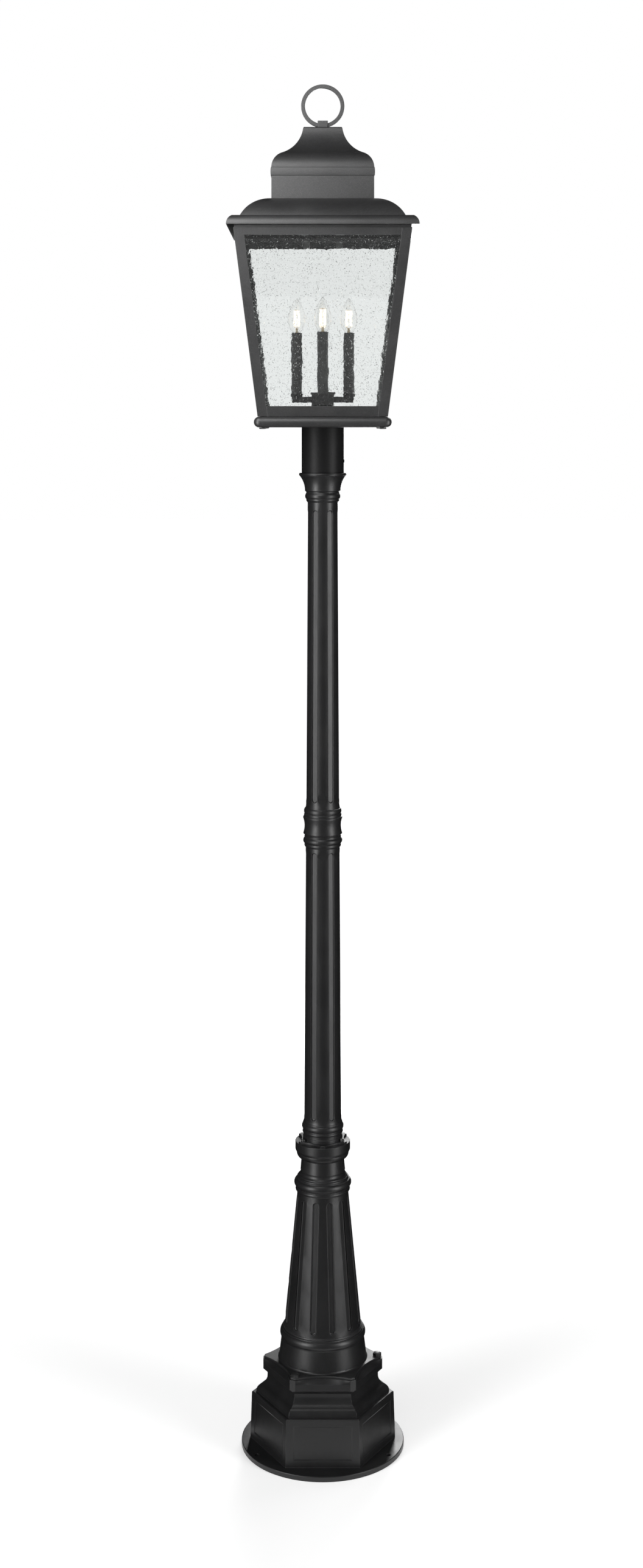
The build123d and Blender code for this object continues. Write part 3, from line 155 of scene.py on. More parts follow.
class PostLightSizes(PropertyGroup):
    """Sizes of the fine pieces."""

    knurls: IntProperty(
        name="Knurls",
        description="Ridges round each thumb screw's head",
        default=28,
        min=8,
        max=80,
    )
    knurl_depth: FloatProperty(
        name="Knurl depth",
        description="Depth of the ridges on a thumb screw's head",
        unit="LENGTH",
        default=0.00035,
        min=0.0,
        max=0.002,
    )
    thread_pitch: FloatProperty(
        name="Lamp thread pitch",
        description="Rise of the thread on a bulb's cap in one turn",
        unit="LENGTH",
        default=0.0025,
        min=0.001,
        max=0.005,
    )
    envelope_wall: FloatProperty(
        name="Envelope wall",
        description="Thickness of a bulb's glass",
        unit="LENGTH",
        default=0.0007,
        min=0.0003,
        max=0.0015,
    )
    edge_round: FloatProperty(
        name="Edge round",
        description="Radius that paint leaves on a sheet's or a casting's edge",
        unit="LENGTH",
        default=0.0009,
        min=0.0,
        max=0.003,
    )


class PostLightStudio(PropertyGroup):
    """The camera, the lamps and the dark screen."""

    camera_distance: FloatProperty(
        name="Camera distance",
        description="Distance from the post's axis to the camera",
        unit="LENGTH",
        default=4.3,
        min=1.0,
    )
    camera_height: FloatProperty(
        name="Camera height",
        description="Height of the camera over the floor",
        unit="LENGTH",
        default=2.0975,
        min=0.0,
    )
    focal_length: FloatProperty(
        name="Focal length",
        description="Focal length on a 36 mm tall sensor",
        unit="CAMERA",
        default=48.07,
        min=10.0,
    )
    left_angle: FloatProperty(
        name="Left softbox angle",
        description="Angle round the post from the camera to the left softbox",
        subtype="ANGLE",
        default=radians(48.0),
    )
    right_angle: FloatProperty(
        name="Right softbox angle",
        description="Angle round the post from the camera to the right softbox",
        subtype="ANGLE",
        default=radians(56.0),
    )
    softbox_power: FloatProperty(
        name="Softbox power",
        description="Power of each tall softbox",
        unit="POWER",
        default=100.0,
        min=0.0,
    )
    front_power: FloatProperty(
        name="Lantern softbox power",
        description="Power of each softbox that hangs near the lantern",
        unit="POWER",
        default=15.0,
        min=0.0,
    )
    screen_radius: FloatProperty(
        name="Screen radius",
        description="Radius of the dark screen that the paint reflects",
        unit="LENGTH",
        default=4.0,
        min=1.0,
    )
    screen_opening: FloatProperty(
        name="Screen opening",
        description="Half the angle over which the floor cloth is open below a side softbox",
        subtype="ANGLE",
        default=radians(12.0),
    )


# Material building


def socket_named(node, name, output=False):
    """The first enabled socket of a node with this name."""
    sockets = node.outputs if output else node.inputs
    for candidate in sockets:
        if candidate.name == name and candidate.enabled:
            return candidate
    raise KeyError(f"{node.bl_idname} has no socket {name}")


class Tree:
    """Short calls for adding and joining nodes."""

    def __init__(self, nodes):
        self.nodes = nodes

    def add(self, kind, **settings):
        node = self.nodes.nodes.new(kind)
        for name, value in settings.items():
            setattr(node, name, value)
        return node

    def set(self, node, **values):
        for name, value in values.items():
            socket_named(node, name.replace("_", " ")).default_value = value
        return node

    def feed(self, socket, value):
        if hasattr(value, "is_output"):
            self.nodes.links.new(value, socket)
        else:
            socket.default_value = value

    def join(self, source, output, target, socket):
        self.nodes.links.new(socket_named(source, output, True), socket_named(target, socket))

    def maths(self, operation, first, second=None, clamp=False):
        node = self.add("ShaderNodeMath", operation=operation, use_clamp=clamp)
        for place, value in enumerate((first, second)):
            if value is not None:
                self.feed(node.inputs[place], value)
        return node.outputs[0]

    def remap(self, value, low, high, to_low=0.0, to_high=1.0, smooth=False):
        node = self.add("ShaderNodeMapRange", interpolation_type="SMOOTHSTEP" if smooth else "LINEAR")
        self.feed(node.inputs["Value"], value)
        self.feed(node.inputs["From Min"], low)
        self.feed(node.inputs["From Max"], high)
        self.feed(node.inputs["To Min"], to_low)
        self.feed(node.inputs["To Max"], to_high)
        return node.outputs["Result"]

    def blend(self, factor, first, second):
        node = self.add("ShaderNodeMix", data_type="RGBA")
        for place, value in ((0, factor), (6, first), (7, second)):
            self.feed(node.inputs[place], value)
        return node.outputs[2]


def new_group(name, inputs, outputs):
    """Empty shader group with its sockets."""
    group = bpy.data.node_groups.new(name, "ShaderNodeTree")
    for label, kind, default in inputs:
        entry = group.interface.new_socket(label, in_out="INPUT", socket_type=kind)
        if default is not None:
            entry.default_value = default
    for label, kind in outputs:
        group.interface.new_socket(label, in_out="OUTPUT", socket_type=kind)
    tree = Tree(group)
    return group, tree, tree.add("NodeGroupInput"), tree.add("NodeGroupOutput")


def use_group(tree, name, **values):
    """Places a shared group in a material with its own values."""
    node = tree.add("ShaderNodeGroup", node_tree=bpy.data.node_groups[name])
    return tree.set(node, **values)


def object_point(tree, scale):
    """Object coordinates, in metres, stretched by a scale for each axis or by a socket."""
    place = tree.add("ShaderNodeTexCoord")
    stretch = tree.add("ShaderNodeMapping")
    tree.feed(stretch.inputs["Scale"], scale)
    tree.nodes.links.new(place.outputs["Object"], stretch.inputs["Vector"])
    return stretch.outputs["Vector"]


def noise(tree, point, scale, detail=3.0, roughness=0.55):
    """Noise over the surface; scale, detail and roughness are numbers or sockets."""
    node = tree.add("ShaderNodeTexNoise")
    tree.nodes.links.new(point, node.inputs["Vector"])
    tree.feed(node.inputs["Scale"], scale)
    tree.feed(node.inputs["Detail"], detail)
    tree.feed(node.inputs["Roughness"], roughness)
    return node.outputs["Fac"]


def build_grain_group():
    """Powder grain: colour of the grains, their roughness and their height."""
    group, tree, start, end = new_group(
        "Powder grain",
        [
            ("Hollow colour", "NodeSocketColor", (0.01, 0.01, 0.01, 1.0)),
            ("Grain colour", "NodeSocketColor", (0.05, 0.05, 0.05, 1.0)),
            ("Grain scale", "NodeSocketFloat", 1500.0),
            ("Lowest roughness", "NodeSocketFloat", 0.45),
            ("Highest roughness", "NodeSocketFloat", 0.65),
        ],
        [("Colour", "NodeSocketColor"), ("Roughness", "NodeSocketFloat"), ("Height", "NodeSocketFloat")],
    )
    point = object_point(tree, (1.0, 1.0, 1.0))
    fine = noise(tree, point, start.outputs["Grain scale"], 2.0, 0.6)
    grain = tree.remap(fine, 0.42, 0.72, smooth=True)
    broad = noise(tree, point, 14.0, 3.0)
    colour = tree.blend(grain, start.outputs["Hollow colour"], start.outputs["Grain colour"])
    tree.nodes.links.new(colour, end.inputs["Colour"])
    lowest, highest = start.outputs["Lowest roughness"], start.outputs["Highest roughness"]
    tree.nodes.links.new(tree.remap(broad, 0.3, 0.7, lowest, highest), end.inputs["Roughness"])
    tree.nodes.links.new(fine, end.inputs["Height"])
    return group


def build_edge_group():
    """Rounded edges: a normal that rounds each sharp edge, with a bump, and a mask of the edges where the
    post paint gets a painted highlight.
    """
    group, tree, start, end = new_group(
        "Rounded edge",
        [
            ("Radius", "NodeSocketFloat", 0.001),
            ("Height", "NodeSocketFloat", 0.0),
            ("Relief", "NodeSocketFloat", 0.0002),
        ],
        [("Normal", "NodeSocketVector"), ("Edge", "NodeSocketFloat")],
    )
    bevel = tree.add("ShaderNodeBevel", samples=6)
    tree.nodes.links.new(start.outputs["Radius"], bevel.inputs["Radius"])
    bump = tree.add("ShaderNodeBump")
    tree.nodes.links.new(start.outputs["Height"], bump.inputs["Height"])
    tree.nodes.links.new(start.outputs["Relief"], bump.inputs["Distance"])
    tree.nodes.links.new(bevel.outputs["Normal"], bump.inputs["Normal"])
    tree.nodes.links.new(bump.outputs["Normal"], end.inputs["Normal"])
    flat = tree.add("ShaderNodeNewGeometry")
    facing = tree.add("ShaderNodeVectorMath", operation="DOT_PRODUCT")
    tree.nodes.links.new(bevel.outputs["Normal"], facing.inputs[0])
    tree.nodes.links.new(flat.outputs["Normal"], facing.inputs[1])
    edge = tree.remap(facing.outputs["Value"], 0.995, 0.86, smooth=True)
    tree.nodes.links.new(edge, end.inputs["Edge"])
    return group


def build_casting_group():
    """Cast surface: slow waves and small pits left by the mould under the paint."""
    group, tree, start, end = new_group(
        "Cast surface",
        [("Wave scale", "NodeSocketFloat", 28.0), ("Pit scale", "NodeSocketFloat", 420.0)],
        [("Height", "NodeSocketFloat"), ("Shade", "NodeSocketFloat")],
    )
    point = object_point(tree, (1.0, 1.0, 0.6))
    waves = noise(tree, point, start.outputs["Wave scale"], 4.0, 0.5)
    pits = noise(tree, point, start.outputs["Pit scale"], 2.0, 0.5)
    pitted = tree.remap(pits, 0.2, 0.42, smooth=True)
    height = tree.maths("ADD", tree.maths("MULTIPLY", waves, 1.6), tree.maths("MULTIPLY", pitted, 0.25))
    tree.nodes.links.new(height, end.inputs["Height"])
    tree.nodes.links.new(waves, end.inputs["Shade"])
    return group


def build_seed_group():
    """Seeds in glass: round and drawn-out bubbles as a height, and a mask over a few seeds for painted shade.
    """
    group, tree, start, end = new_group(
        "Glass seeds",
        [("Seed scale", "NodeSocketFloat", 150.0), ("Wave scale", "NodeSocketFloat", 30.0)],
        [("Height", "NodeSocketFloat"), ("Painted seed shade", "NodeSocketFloat")],
    )
    heights = []
    rims = []
    kinds = (((1.0, 1.0, 0.9), 0.34, 0.16), ((1.5, 1.5, 0.24), 0.34, 0.13), ((2.3, 2.3, 0.5), 0.42, 0.17))
    for stretch, share, size in kinds:
        point = object_point(tree, stretch)
        cells = tree.add("ShaderNodeTexVoronoi", feature="F1", distance="EUCLIDEAN")
        tree.nodes.links.new(point, cells.inputs["Vector"])
        tree.nodes.links.new(start.outputs["Seed scale"], cells.inputs["Scale"])
        pick = tree.add("ShaderNodeSeparateColor")
        tree.nodes.links.new(cells.outputs["Color"], pick.inputs["Color"])
        chosen = tree.maths("LESS_THAN", pick.outputs[0], share)
        reach = tree.remap(pick.outputs[1], 0.0, 1.0, size * 0.55, size * 1.5)
        near = tree.maths("DIVIDE", cells.outputs["Distance"], reach)
        dome = tree.maths("SUBTRACT", 1.0, near, clamp=True)
        heights.append(tree.maths("MULTIPLY", dome, chosen))
        # About a tenth of the seeds are marked for painted shade: dark specks that stand in for the light a
        # bubble bends away.
        dark = tree.maths("LESS_THAN", pick.outputs[2], 0.10)
        rim = tree.maths("MULTIPLY", chosen, dark)
        rims.append(tree.maths("MULTIPLY", tree.remap(near, 1.1, 0.7, smooth=True), rim))
    seeds = tree.maths("MAXIMUM", tree.maths("MAXIMUM", heights[0], heights[1]), heights[2])
    blisters = tree.add("ShaderNodeTexVoronoi", feature="SMOOTH_F1")
    tree.nodes.links.new(object_point(tree, (1.0, 1.0, 0.42)), blisters.inputs["Vector"])
    tree.nodes.links.new(start.outputs["Wave scale"], blisters.inputs["Scale"])
    lumps = tree.remap(blisters.outputs["Distance"], 0.0, 0.55, 1.0, 0.0, smooth=True)
    waves = noise(tree, object_point(tree, (1.0, 1.0, 0.5)), start.outputs["Wave scale"], 3.0, 0.5)
    slow = tree.maths("ADD", tree.maths("MULTIPLY", waves, 0.40), tree.maths("MULTIPLY", lumps, 0.10))
    height = tree.maths("ADD", seeds, slow)
    tree.nodes.links.new(height, end.inputs["Height"])
    tree.nodes.links.new(tree.maths("MAXIMUM", rims[0], rims[1]), end.inputs["Painted seed shade"])
    return group


def build_marks_group():
    """Fine marks: two shades of a colour, a roughness between two values, and a height."""
    group, tree, start, end = new_group(
        "Fine marks",
        [
            ("First colour", "NodeSocketColor", (0.5, 0.5, 0.5, 1.0)),
            ("Second colour", "NodeSocketColor", (0.6, 0.6, 0.6, 1.0)),
            ("Stretch", "NodeSocketVector", (1.0, 1.0, 1.0)),
            ("Mark scale", "NodeSocketFloat", 500.0),
            ("Detail", "NodeSocketFloat", 3.0),
            ("Breakup", "NodeSocketFloat", 0.6),
            ("Lowest roughness", "NodeSocketFloat", 0.3),
            ("Highest roughness", "NodeSocketFloat", 0.5),
        ],
        [("Colour", "NodeSocketColor"), ("Roughness", "NodeSocketFloat"), ("Height", "NodeSocketFloat")],
    )
    wanted = start.outputs
    point = object_point(tree, wanted["Stretch"])
    marks = noise(tree, point, wanted["Mark scale"], wanted["Detail"], wanted["Breakup"])
    rough = tree.remap(marks, 0.3, 0.7, wanted["Lowest roughness"], wanted["Highest roughness"])
    colour = tree.blend(marks, wanted["First colour"], wanted["Second colour"])
    tree.nodes.links.new(colour, end.inputs["Colour"])
    tree.nodes.links.new(rough, end.inputs["Roughness"])
    tree.nodes.links.new(marks, end.inputs["Height"])
    return group


def new_material(name):
    """Material with one Principled shader; returns it with its tree and the shader."""
    material = bpy.data.materials.new(name)
    material.use_nodes = True
    tree = Tree(material.node_tree)
    tree.nodes.nodes.clear()
    shader = tree.add("ShaderNodeBsdfPrincipled")
    output = tree.add("ShaderNodeOutputMaterial")
    tree.nodes.links.new(shader.outputs["BSDF"], output.inputs["Surface"])
    return material, tree, shader


def casting_paint(context):
    """Satin black paint over cast aluminium, with a painted highlight along its edges."""
    finish = context.scene.post_light_finish
    material, tree, shader = new_material("post paint")
    cast = use_group(tree, "Cast surface", Wave_scale=24.0, Pit_scale=380.0)
    edge = use_group(tree, "Rounded edge", Radius=context.scene.post_light_sizes.edge_round, Relief=0.00035)
    tree.join(cast, "Height", edge, "Height")
    tree.join(edge, "Normal", shader, "Normal")
    # Paint five times lighter along every edge: a painted highlight on the arrises.
    painted_edge_highlight = tuple(min(1.0, 5.0 * part) for part in finish.post_paint[:3]) + (1.0,)
    thin = tuple(1.5 * part for part in finish.post_paint[:3]) + (1.0,)
    body = tree.blend(cast.outputs["Shade"], finish.post_paint[:], thin)
    colour = tree.blend(edge.outputs["Edge"], body, painted_edge_highlight)
    tree.nodes.links.new(colour, shader.inputs["Base Color"])
    rough = tree.remap(cast.outputs["Shade"], 0.3, 0.7, 0.34, 0.42)
    tree.nodes.links.new(rough, shader.inputs["Roughness"])
    shader.inputs["Specular IOR Level"].default_value = 0.45
    return material


def powder_coat(context, name, scale=1150.0, relief=0.00013, low=0.38, high=0.48, shade=1.0, shine=0.8):
    """Fine textured black powder coat on sheet metal; shade and shine darken its colours and its gloss."""
    finish = context.scene.post_light_finish
    hollow = tuple(shade * part for part in finish.powder_dark[:3]) + (1.0,)
    crest = tuple(shade * part for part in finish.powder_light[:3]) + (1.0,)
    material, tree, shader = new_material(name)
    grain = use_group(
        tree,
        "Powder grain",
        Hollow_colour=hollow,
        Grain_colour=crest,
        Grain_scale=scale,
        Lowest_roughness=low,
        Highest_roughness=high,
    )
    edge = use_group(tree, "Rounded edge", Radius=context.scene.post_light_sizes.edge_round, Relief=relief)
    tree.join(grain, "Height", edge, "Height")
    tree.join(edge, "Normal", shader, "Normal")
    tree.join(grain, "Colour", shader, "Base Color")
    tree.join(grain, "Roughness", shader, "Roughness")
    shader.inputs["Specular IOR Level"].default_value = shine
    return material


def marked(name, shades, rough, relief, **values):
    """Material with fine marks, between two shades and two roughness values; returns its shader too."""
    material, tree, shader = new_material(name)
    marks = use_group(
        tree,
        "Fine marks",
        First_colour=shades[0],
        Second_colour=shades[1],
        Lowest_roughness=rough[0],
        Highest_roughness=rough[1],
        **values,
    )
    bump = tree.add("ShaderNodeBump")
    bump.inputs["Distance"].default_value = relief
    tree.join(marks, "Height", bump, "Height")
    tree.join(bump, "Normal", shader, "Normal")
    tree.join(marks, "Colour", shader, "Base Color")
    tree.join(marks, "Roughness", shader, "Roughness")
    return material, shader


def plain_metal(name, colour, low, high, scale=240.0, stretch=(1.0, 1.0, 1.0)):
    """Bare metal with fine marks; its roughness runs between two values."""
    darker = tuple(0.72 * part for part in colour[:3]) + (1.0,)
    looks = {"Mark_scale": scale, "Stretch": stretch, "Detail": 4.0, "Breakup": 0.65}
    material, shader = marked(name, (darker, colour), (low, high), 0.00004, **looks)
    shader.inputs["Metallic"].default_value = 1.0
    return material


def moulded(name, colour, low, high, scale=500.0, relief=0.00004):
    """Plastic, rubber or glazed insulation with a slight surface grain."""
    paler = tuple(min(1.0, 1.25 * part + 0.004) for part in colour[:3]) + (1.0,)
    looks = {"Mark_scale": scale, "Detail": 3.0, "Breakup": 0.6}
    return marked(name, (colour, paler), (low, high), relief, **looks)[0]


def dark_cloth():
    """Matt black cloth of the studio's screen."""
    material, tree, shader = new_material("dark cloth")
    weave = noise(tree, object_point(tree, (1.0, 1.0, 1.0)), 400.0, 2.0)
    shade = tree.blend(weave, (0.001, 0.001, 0.001, 1.0), (0.002, 0.002, 0.002, 1.0))
    tree.nodes.links.new(shade, shader.inputs["Base Color"])
    shader.inputs["Roughness"].default_value = 1.0
    shader.inputs["Specular IOR Level"].default_value = 0.0
    return material


def seen_rays(tree):
    """1 on rays from the camera, from a reflection or through glass, and 0 on rays that light the object."""
    rays = tree.add("ShaderNodeLightPath")
    seen = tree.maths("MAXIMUM", rays.outputs["Is Camera Ray"], rays.outputs["Is Glossy Ray"])
    return tree.maths("MAXIMUM", seen, rays.outputs["Is Transmission Ray"])


def seeded_glass(context):
    """Clear glass with seeds and slow waves; a few seeds carry painted shade."""
    material, tree, shader = new_material("seeded glass")
    seeds = use_group(tree, "Glass seeds", Seed_scale=300.0, Wave_scale=75.0)
    bump = tree.add("ShaderNodeBump")
    bump.inputs["Distance"].default_value = 0.0008
    tree.join(seeds, "Height", bump, "Height")
    tree.join(bump, "Normal", shader, "Normal")
    tint = context.scene.post_light_finish.glass_tint[:]
    # Base colour goes towards dark grey over the marked seeds: painted shade for the light they bend away.
    rim = tree.maths("MULTIPLY", seeds.outputs["Painted seed shade"], 0.4)
    tree.nodes.links.new(tree.blend(rim, tint, (0.10, 0.11, 0.11, 1.0)), shader.inputs["Base Color"])
    shader.inputs["Transmission Weight"].default_value = 1.0
    shader.inputs["Roughness"].default_value = 0.0
    shader.inputs["IOR"].default_value = 1.45
    return material


def bulb_glass():
    """Thin clear glass with painted shade where it is seen edge on."""
    material, tree, shader = new_material("bulb glass")
    facing = tree.add("ShaderNodeLayerWeight")
    facing.inputs["Blend"].default_value = 0.32
    # Base colour turns dark grey where the glass is seen edge on: painted shade that draws the glass's dark
    # outline.
    rim = tree.remap(facing.outputs["Facing"], 0.72, 1.0, 0.0, 0.8, smooth=True)
    streaks = noise(tree, object_point(tree, (1.0, 1.0, 0.4)), 60.0, 2.0)
    clear = tree.blend(tree.maths("MULTIPLY", streaks, 0.5), (1.0, 1.0, 1.0, 1.0), (0.97, 0.965, 0.95, 1.0))
    tree.nodes.links.new(tree.blend(rim, clear, (0.30, 0.29, 0.28, 1.0)), shader.inputs["Base Color"])
    shader.inputs["Transmission Weight"].default_value = 1.0
    shader.inputs["Roughness"].default_value = 0.0
    shader.inputs["IOR"].default_value = 1.45
    return material


def lit_filament(context):
    """Lit filament coating: nearly white in the middle, warm at its edges."""
    material, tree, shader = new_material("lit filament")
    glow = context.scene.post_light_finish.glow[:]
    facing = tree.add("ShaderNodeLayerWeight")
    facing.inputs["Blend"].default_value = 0.4
    beads = noise(tree, object_point(tree, (1.0, 1.0, 1.0)), 900.0, 1.0)
    core = tree.blend(tree.maths("MULTIPLY", beads, 0.2), (1.0, 0.98, 0.92, 1.0), glow)
    rim = tree.remap(facing.outputs["Facing"], 0.35, 0.9, smooth=True)
    colour = tree.blend(rim, core, glow)
    tree.nodes.links.new(colour, shader.inputs["Emission Color"])
    shader.inputs["Emission Strength"].default_value = 1.7
    shader.inputs["Base Color"].default_value = (0.9, 0.6, 0.2, 1.0)
    shader.inputs["Roughness"].default_value = 0.6
    return material


# Mesh building


def finish_mesh(name, built, material, sharp=35.0):
    """Turns a bmesh into a smooth shaded object with one material."""
    mesh = bpy.data.meshes.new(name)
    bmesh.ops.recalc_face_normals(built, faces=built.faces)
    built.to_mesh(mesh)
    built.free()
    mesh.shade_smooth()
    mesh.set_sharp_from_angle(angle=radians(sharp))
    mesh.materials.append(material)
    piece = bpy.data.objects.new(name, mesh)
    bpy.context.scene.collection.objects.link(piece)
    return piece


def join_rings(built, rings, count):
    """Adds the faces between rings of vertices; a ring of one vertex closes an end."""
    for below, above in zip(rings, rings[1:]):
        for place in range(count):
            after = (place + 1) % count
            corners = []
            for ring, spot in ((below, place), (below, after), (above, after), (above, place)):
                corner = ring[0] if len(ring) == 1 else ring[spot]
                if corner not in corners:
                    corners.append(corner)
            if len(corners) > 2:
                built.faces.new(corners)


def add_turned(built, outline, centre, steps=48, ridge=None, turn=0.0):
    """Adds a closed turned shape round an upright axis.

    ridge alters the radius at an angle and height; turn is the angle of the first vertex.
    """
    rings = []
    for radius, height in outline:
        ring = []
        for step in range(steps if radius > 1e-7 else 1):
            angle = turn + tau * step / steps
            reach = radius + (ridge(angle, radius, height) if ridge and radius > 1e-7 else 0.0)
            spot = (centre[0] + reach * cos(angle), centre[1] + reach * sin(angle), height)
            ring.append(built.verts.new(spot))
        rings.append(ring)
    join_rings(built, rings, steps)


def add_prism(built, sides, radius, low, high, centre, chamfer, turn=0.0):
    """Adds an upright prism with a chamfered top edge."""
    outline = [(0.0, low), (radius, low), (radius, high - chamfer)]
    outline += [(radius - chamfer * 1.6, high), (0.0, high)]
    add_turned(built, outline, centre, sides, turn=turn)


def arc_points(start, end, swell, count):
    """Points along an arc between two outline points; swell is how far it bows outward."""
    (near, low), (far, high) = start, end
    run = sqrt((far - near) ** 2 + (high - low) ** 2)
    across = ((high - low) / run, -(far - near) / run)
    points = []
    for step in range(count):
        share = step / count
        bow = 4.0 * share * (1.0 - share) * swell
        reach = near + (far - near) * share + across[0] * bow
        points.append((reach, low + (high - low) * share + across[1] * bow))
    return points


def add_rod(built, start, end, radius, sides=12):
    """Adds a straight round rod with rounded ends between two points."""
    start, end = Vector(start), Vector(end)
    along = (end - start).normalized()
    turn = along.to_track_quat("Z", "Y").to_matrix()
    length = (end - start).length
    outline = [(0.0, 0.0), (radius * 0.7, radius * 0.3), (radius, radius), (radius, length - radius)]
    outline += [(radius * 0.7, length - radius * 0.3), (0.0, length)]
    rings = []
    for reach, height in outline:
        ring = []
        for side in range(sides if reach else 1):
            angle = tau * side / sides
            spot = turn @ Vector((reach * cos(angle), reach * sin(angle), height)) + start
            ring.append(built.verts.new(spot))
        rings.append(ring)
    join_rings(built, rings, sides)


def add_softbox(name, angle, size, power, distance, level, dip=0.0):
    """Hangs a rectangular softbox round the post, turned to the post's axis and dipped by some degrees."""
    lamp = bpy.data.lights.new(name, "AREA")
    lamp.shape = "RECTANGLE"
    lamp.size, lamp.size_y = size
    lamp.energy = power
    box = bpy.data.objects.new(name, lamp)
    box.location = (distance * sin(angle), -distance * cos(angle), level)
    box.rotation_euler = (radians(90.0 - dip), 0.0, angle)
    box.visible_camera = False
    box.visible_transmission = False
    bpy.context.scene.collection.objects.link(box)


def add_screen(radius, openings):
    """Stands a dark screen with a ceiling and a floor cloth round the studio; only reflections show it.

    The floor cloth keeps clear of the post in front and is open over each span of angles in openings.
    """
    built = bmesh.new()
    centre = built.verts.new((0.0, 0.0, SCREEN_HEIGHT))
    columns = []
    for step in range(SCREEN_STEPS):
        angle = tau * step / SCREEN_STEPS
        in_front = cos(angle) > cos(radians(CLOTH_FRONT_SPREAD))
        inner = CLOTH_FRONT_INNER if in_front else CLOTH_INNER
        column = []
        for reach, level in ((inner, CLOTH_LEVEL), (radius, CLOTH_LEVEL), (radius, SCREEN_HEIGHT)):
            column.append(built.verts.new((reach * sin(angle), -reach * cos(angle), level)))
        columns.append(column)
    for step in range(SCREEN_STEPS):
        near, far = columns[step], columns[(step + 1) % SCREEN_STEPS]
        built.faces.new((near[1], far[1], far[2], near[2]))
        built.faces.new((near[2], far[2], centre))
        angle = tau * (step + 0.5) / SCREEN_STEPS
        if not any(first < angle < last for first, last in openings):
            built.faces.new((near[0], far[0], far[1], near[1]))
    mesh = bpy.data.meshes.new("dark_screen")
    built.to_mesh(mesh)
    built.free()
    mesh.materials.append(dark_cloth())
    screen = bpy.data.objects.new("dark_screen", mesh)
    bpy.context.scene.collection.objects.link(screen)
    screen.visible_camera = False
    screen.visible_diffuse = False
    screen.visible_transmission = False
    screen.visible_shadow = False


def dress(nodes, material):
    """Gives carried-over CAD nodes one material."""
    for name in nodes:
        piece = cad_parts[name]
        piece.data.materials.clear()
        piece.data.materials.append(material)


def middle(node):
    """Middle of a node's box, and its lowest and highest level."""
    low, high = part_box(node)
    return Vector(((low[0] + high[0]) / 2, (low[1] + high[1]) / 2, 0)), low[2], high[2]


# Operators


class POSTLIGHT_OT_groups(Operator):
    """Build the shader groups that the finishes share"""

    bl_idname = "post_light.groups"
    bl_label = "Shared effects"

    def execute(self, context):
        build_grain_group()
        build_edge_group()
        build_casting_group()
        build_seed_group()
        build_marks_group()
        return {"FINISHED"}


class POSTLIGHT_OT_castings(Operator):
    """Paint the pedestal, the column, the pole and the capital"""

    bl_idname = "post_light.castings"
    bl_label = "Post castings"

    def execute(self, context):
        dress(POST_CASTINGS, casting_paint(context))
        return {"FINISHED"}


class POSTLIGHT_OT_bolts(Operator):
    """Build the bolts on the column's foot and on the crown plate"""

    bl_idname = "post_light.bolts"
    bl_label = "Bolts"

    def execute(self, context):
        coating = moulded("bolt coating", (0.012, 0.012, 0.012, 1.0), 0.32, 0.48, 900.0)
        low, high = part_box("foot_bolts")
        top = high[2]
        seat = top - 0.0065
        washer = 0.0087
        built = bmesh.new()
        for turn in FOOT_BOLT_TURNS:
            spot = (FOOT_BOLT_CIRCLE * cos(radians(turn)), FOOT_BOLT_CIRCLE * sin(radians(turn)))
            flange = [(0.0, seat), (washer, seat), (washer, seat + 0.0006)]
            flange += [(0.0078, seat + 0.0015), (0.0, seat + 0.0015)]
            add_turned(built, flange, spot)
            add_prism(built, 6, washer, seat + 0.001, top - 0.0008, spot, 0.0009, radians(turn + 12.0))
            crown = [(0.0, top - 0.0012), (0.0066, top - 0.0010), (0.0052, top - 0.0003)]
            crown += [(0.003, top), (0.0, top)]
            add_turned(built, crown, spot)
            shank = [(0.0, low[2]), (0.0048, low[2]), (0.0048, seat), (0.0, seat)]
            add_turned(built, shank, spot, 24)
        heads = finish_mesh("foot_bolt_heads", built, coating)
        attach(heads, "post")
        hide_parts("foot_bolts")

        low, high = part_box("crown_bolts")
        seat = high[2] - 0.004
        built = bmesh.new()
        for turn in CROWN_BOLT_TURNS:
            spot = (CROWN_BOLT_CIRCLE * cos(radians(turn)), CROWN_BOLT_CIRCLE * sin(radians(turn)))
            head = [(0.0045, seat), (0.0045, seat + 0.0028), (0.0041, seat + 0.0036), (0.0034, seat + 0.004)]
            add_turned(built, head, spot, 36)
            socket = [(0.0034, seat + 0.004), (0.0021, seat + 0.0038), (0.0019, seat + 0.0018)]
            socket += [(0.0, seat + 0.0014)]
            add_turned(built, socket, spot, 6)
            shank = [(0.0, low[2]), (0.0029, low[2]), (0.0029, seat), (0.0, seat)]
            add_turned(built, shank, spot, 20)
        heads = finish_mesh("crown_bolt_heads", built, coating)
        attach(heads, "post")
        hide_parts("crown_bolts")
        dress(("fitter_screws",), coating)
        return {"FINISHED"}


class POSTLIGHT_OT_lantern_metal(Operator):
    """Powder coat the tray, the cage, the roof and the fitter"""

    bl_idname = "post_light.lantern_metal"
    bl_label = "Lantern metal"

    def execute(self, context):
        dress(SHEET_METAL, powder_coat(context, "lantern powder coat"))
        # The cluster inside the lantern takes the lantern's powder coat at 0.4 of its colour: a darker copy
        # that paints the shade inside the lantern.
        inner = powder_coat(context, "cluster powder coat in painted shade", 1700.0, 0.00010, 0.40, 0.50, 0.4, 0.3)
        dress(CLUSTER_METAL, inner)
        smooth = powder_coat(context, "fitter powder coat", 1900.0, 0.00005, 0.42, 0.50, 0.45, 0.15)
        dress(("post_fitter",), smooth)
        return {"FINISHED"}


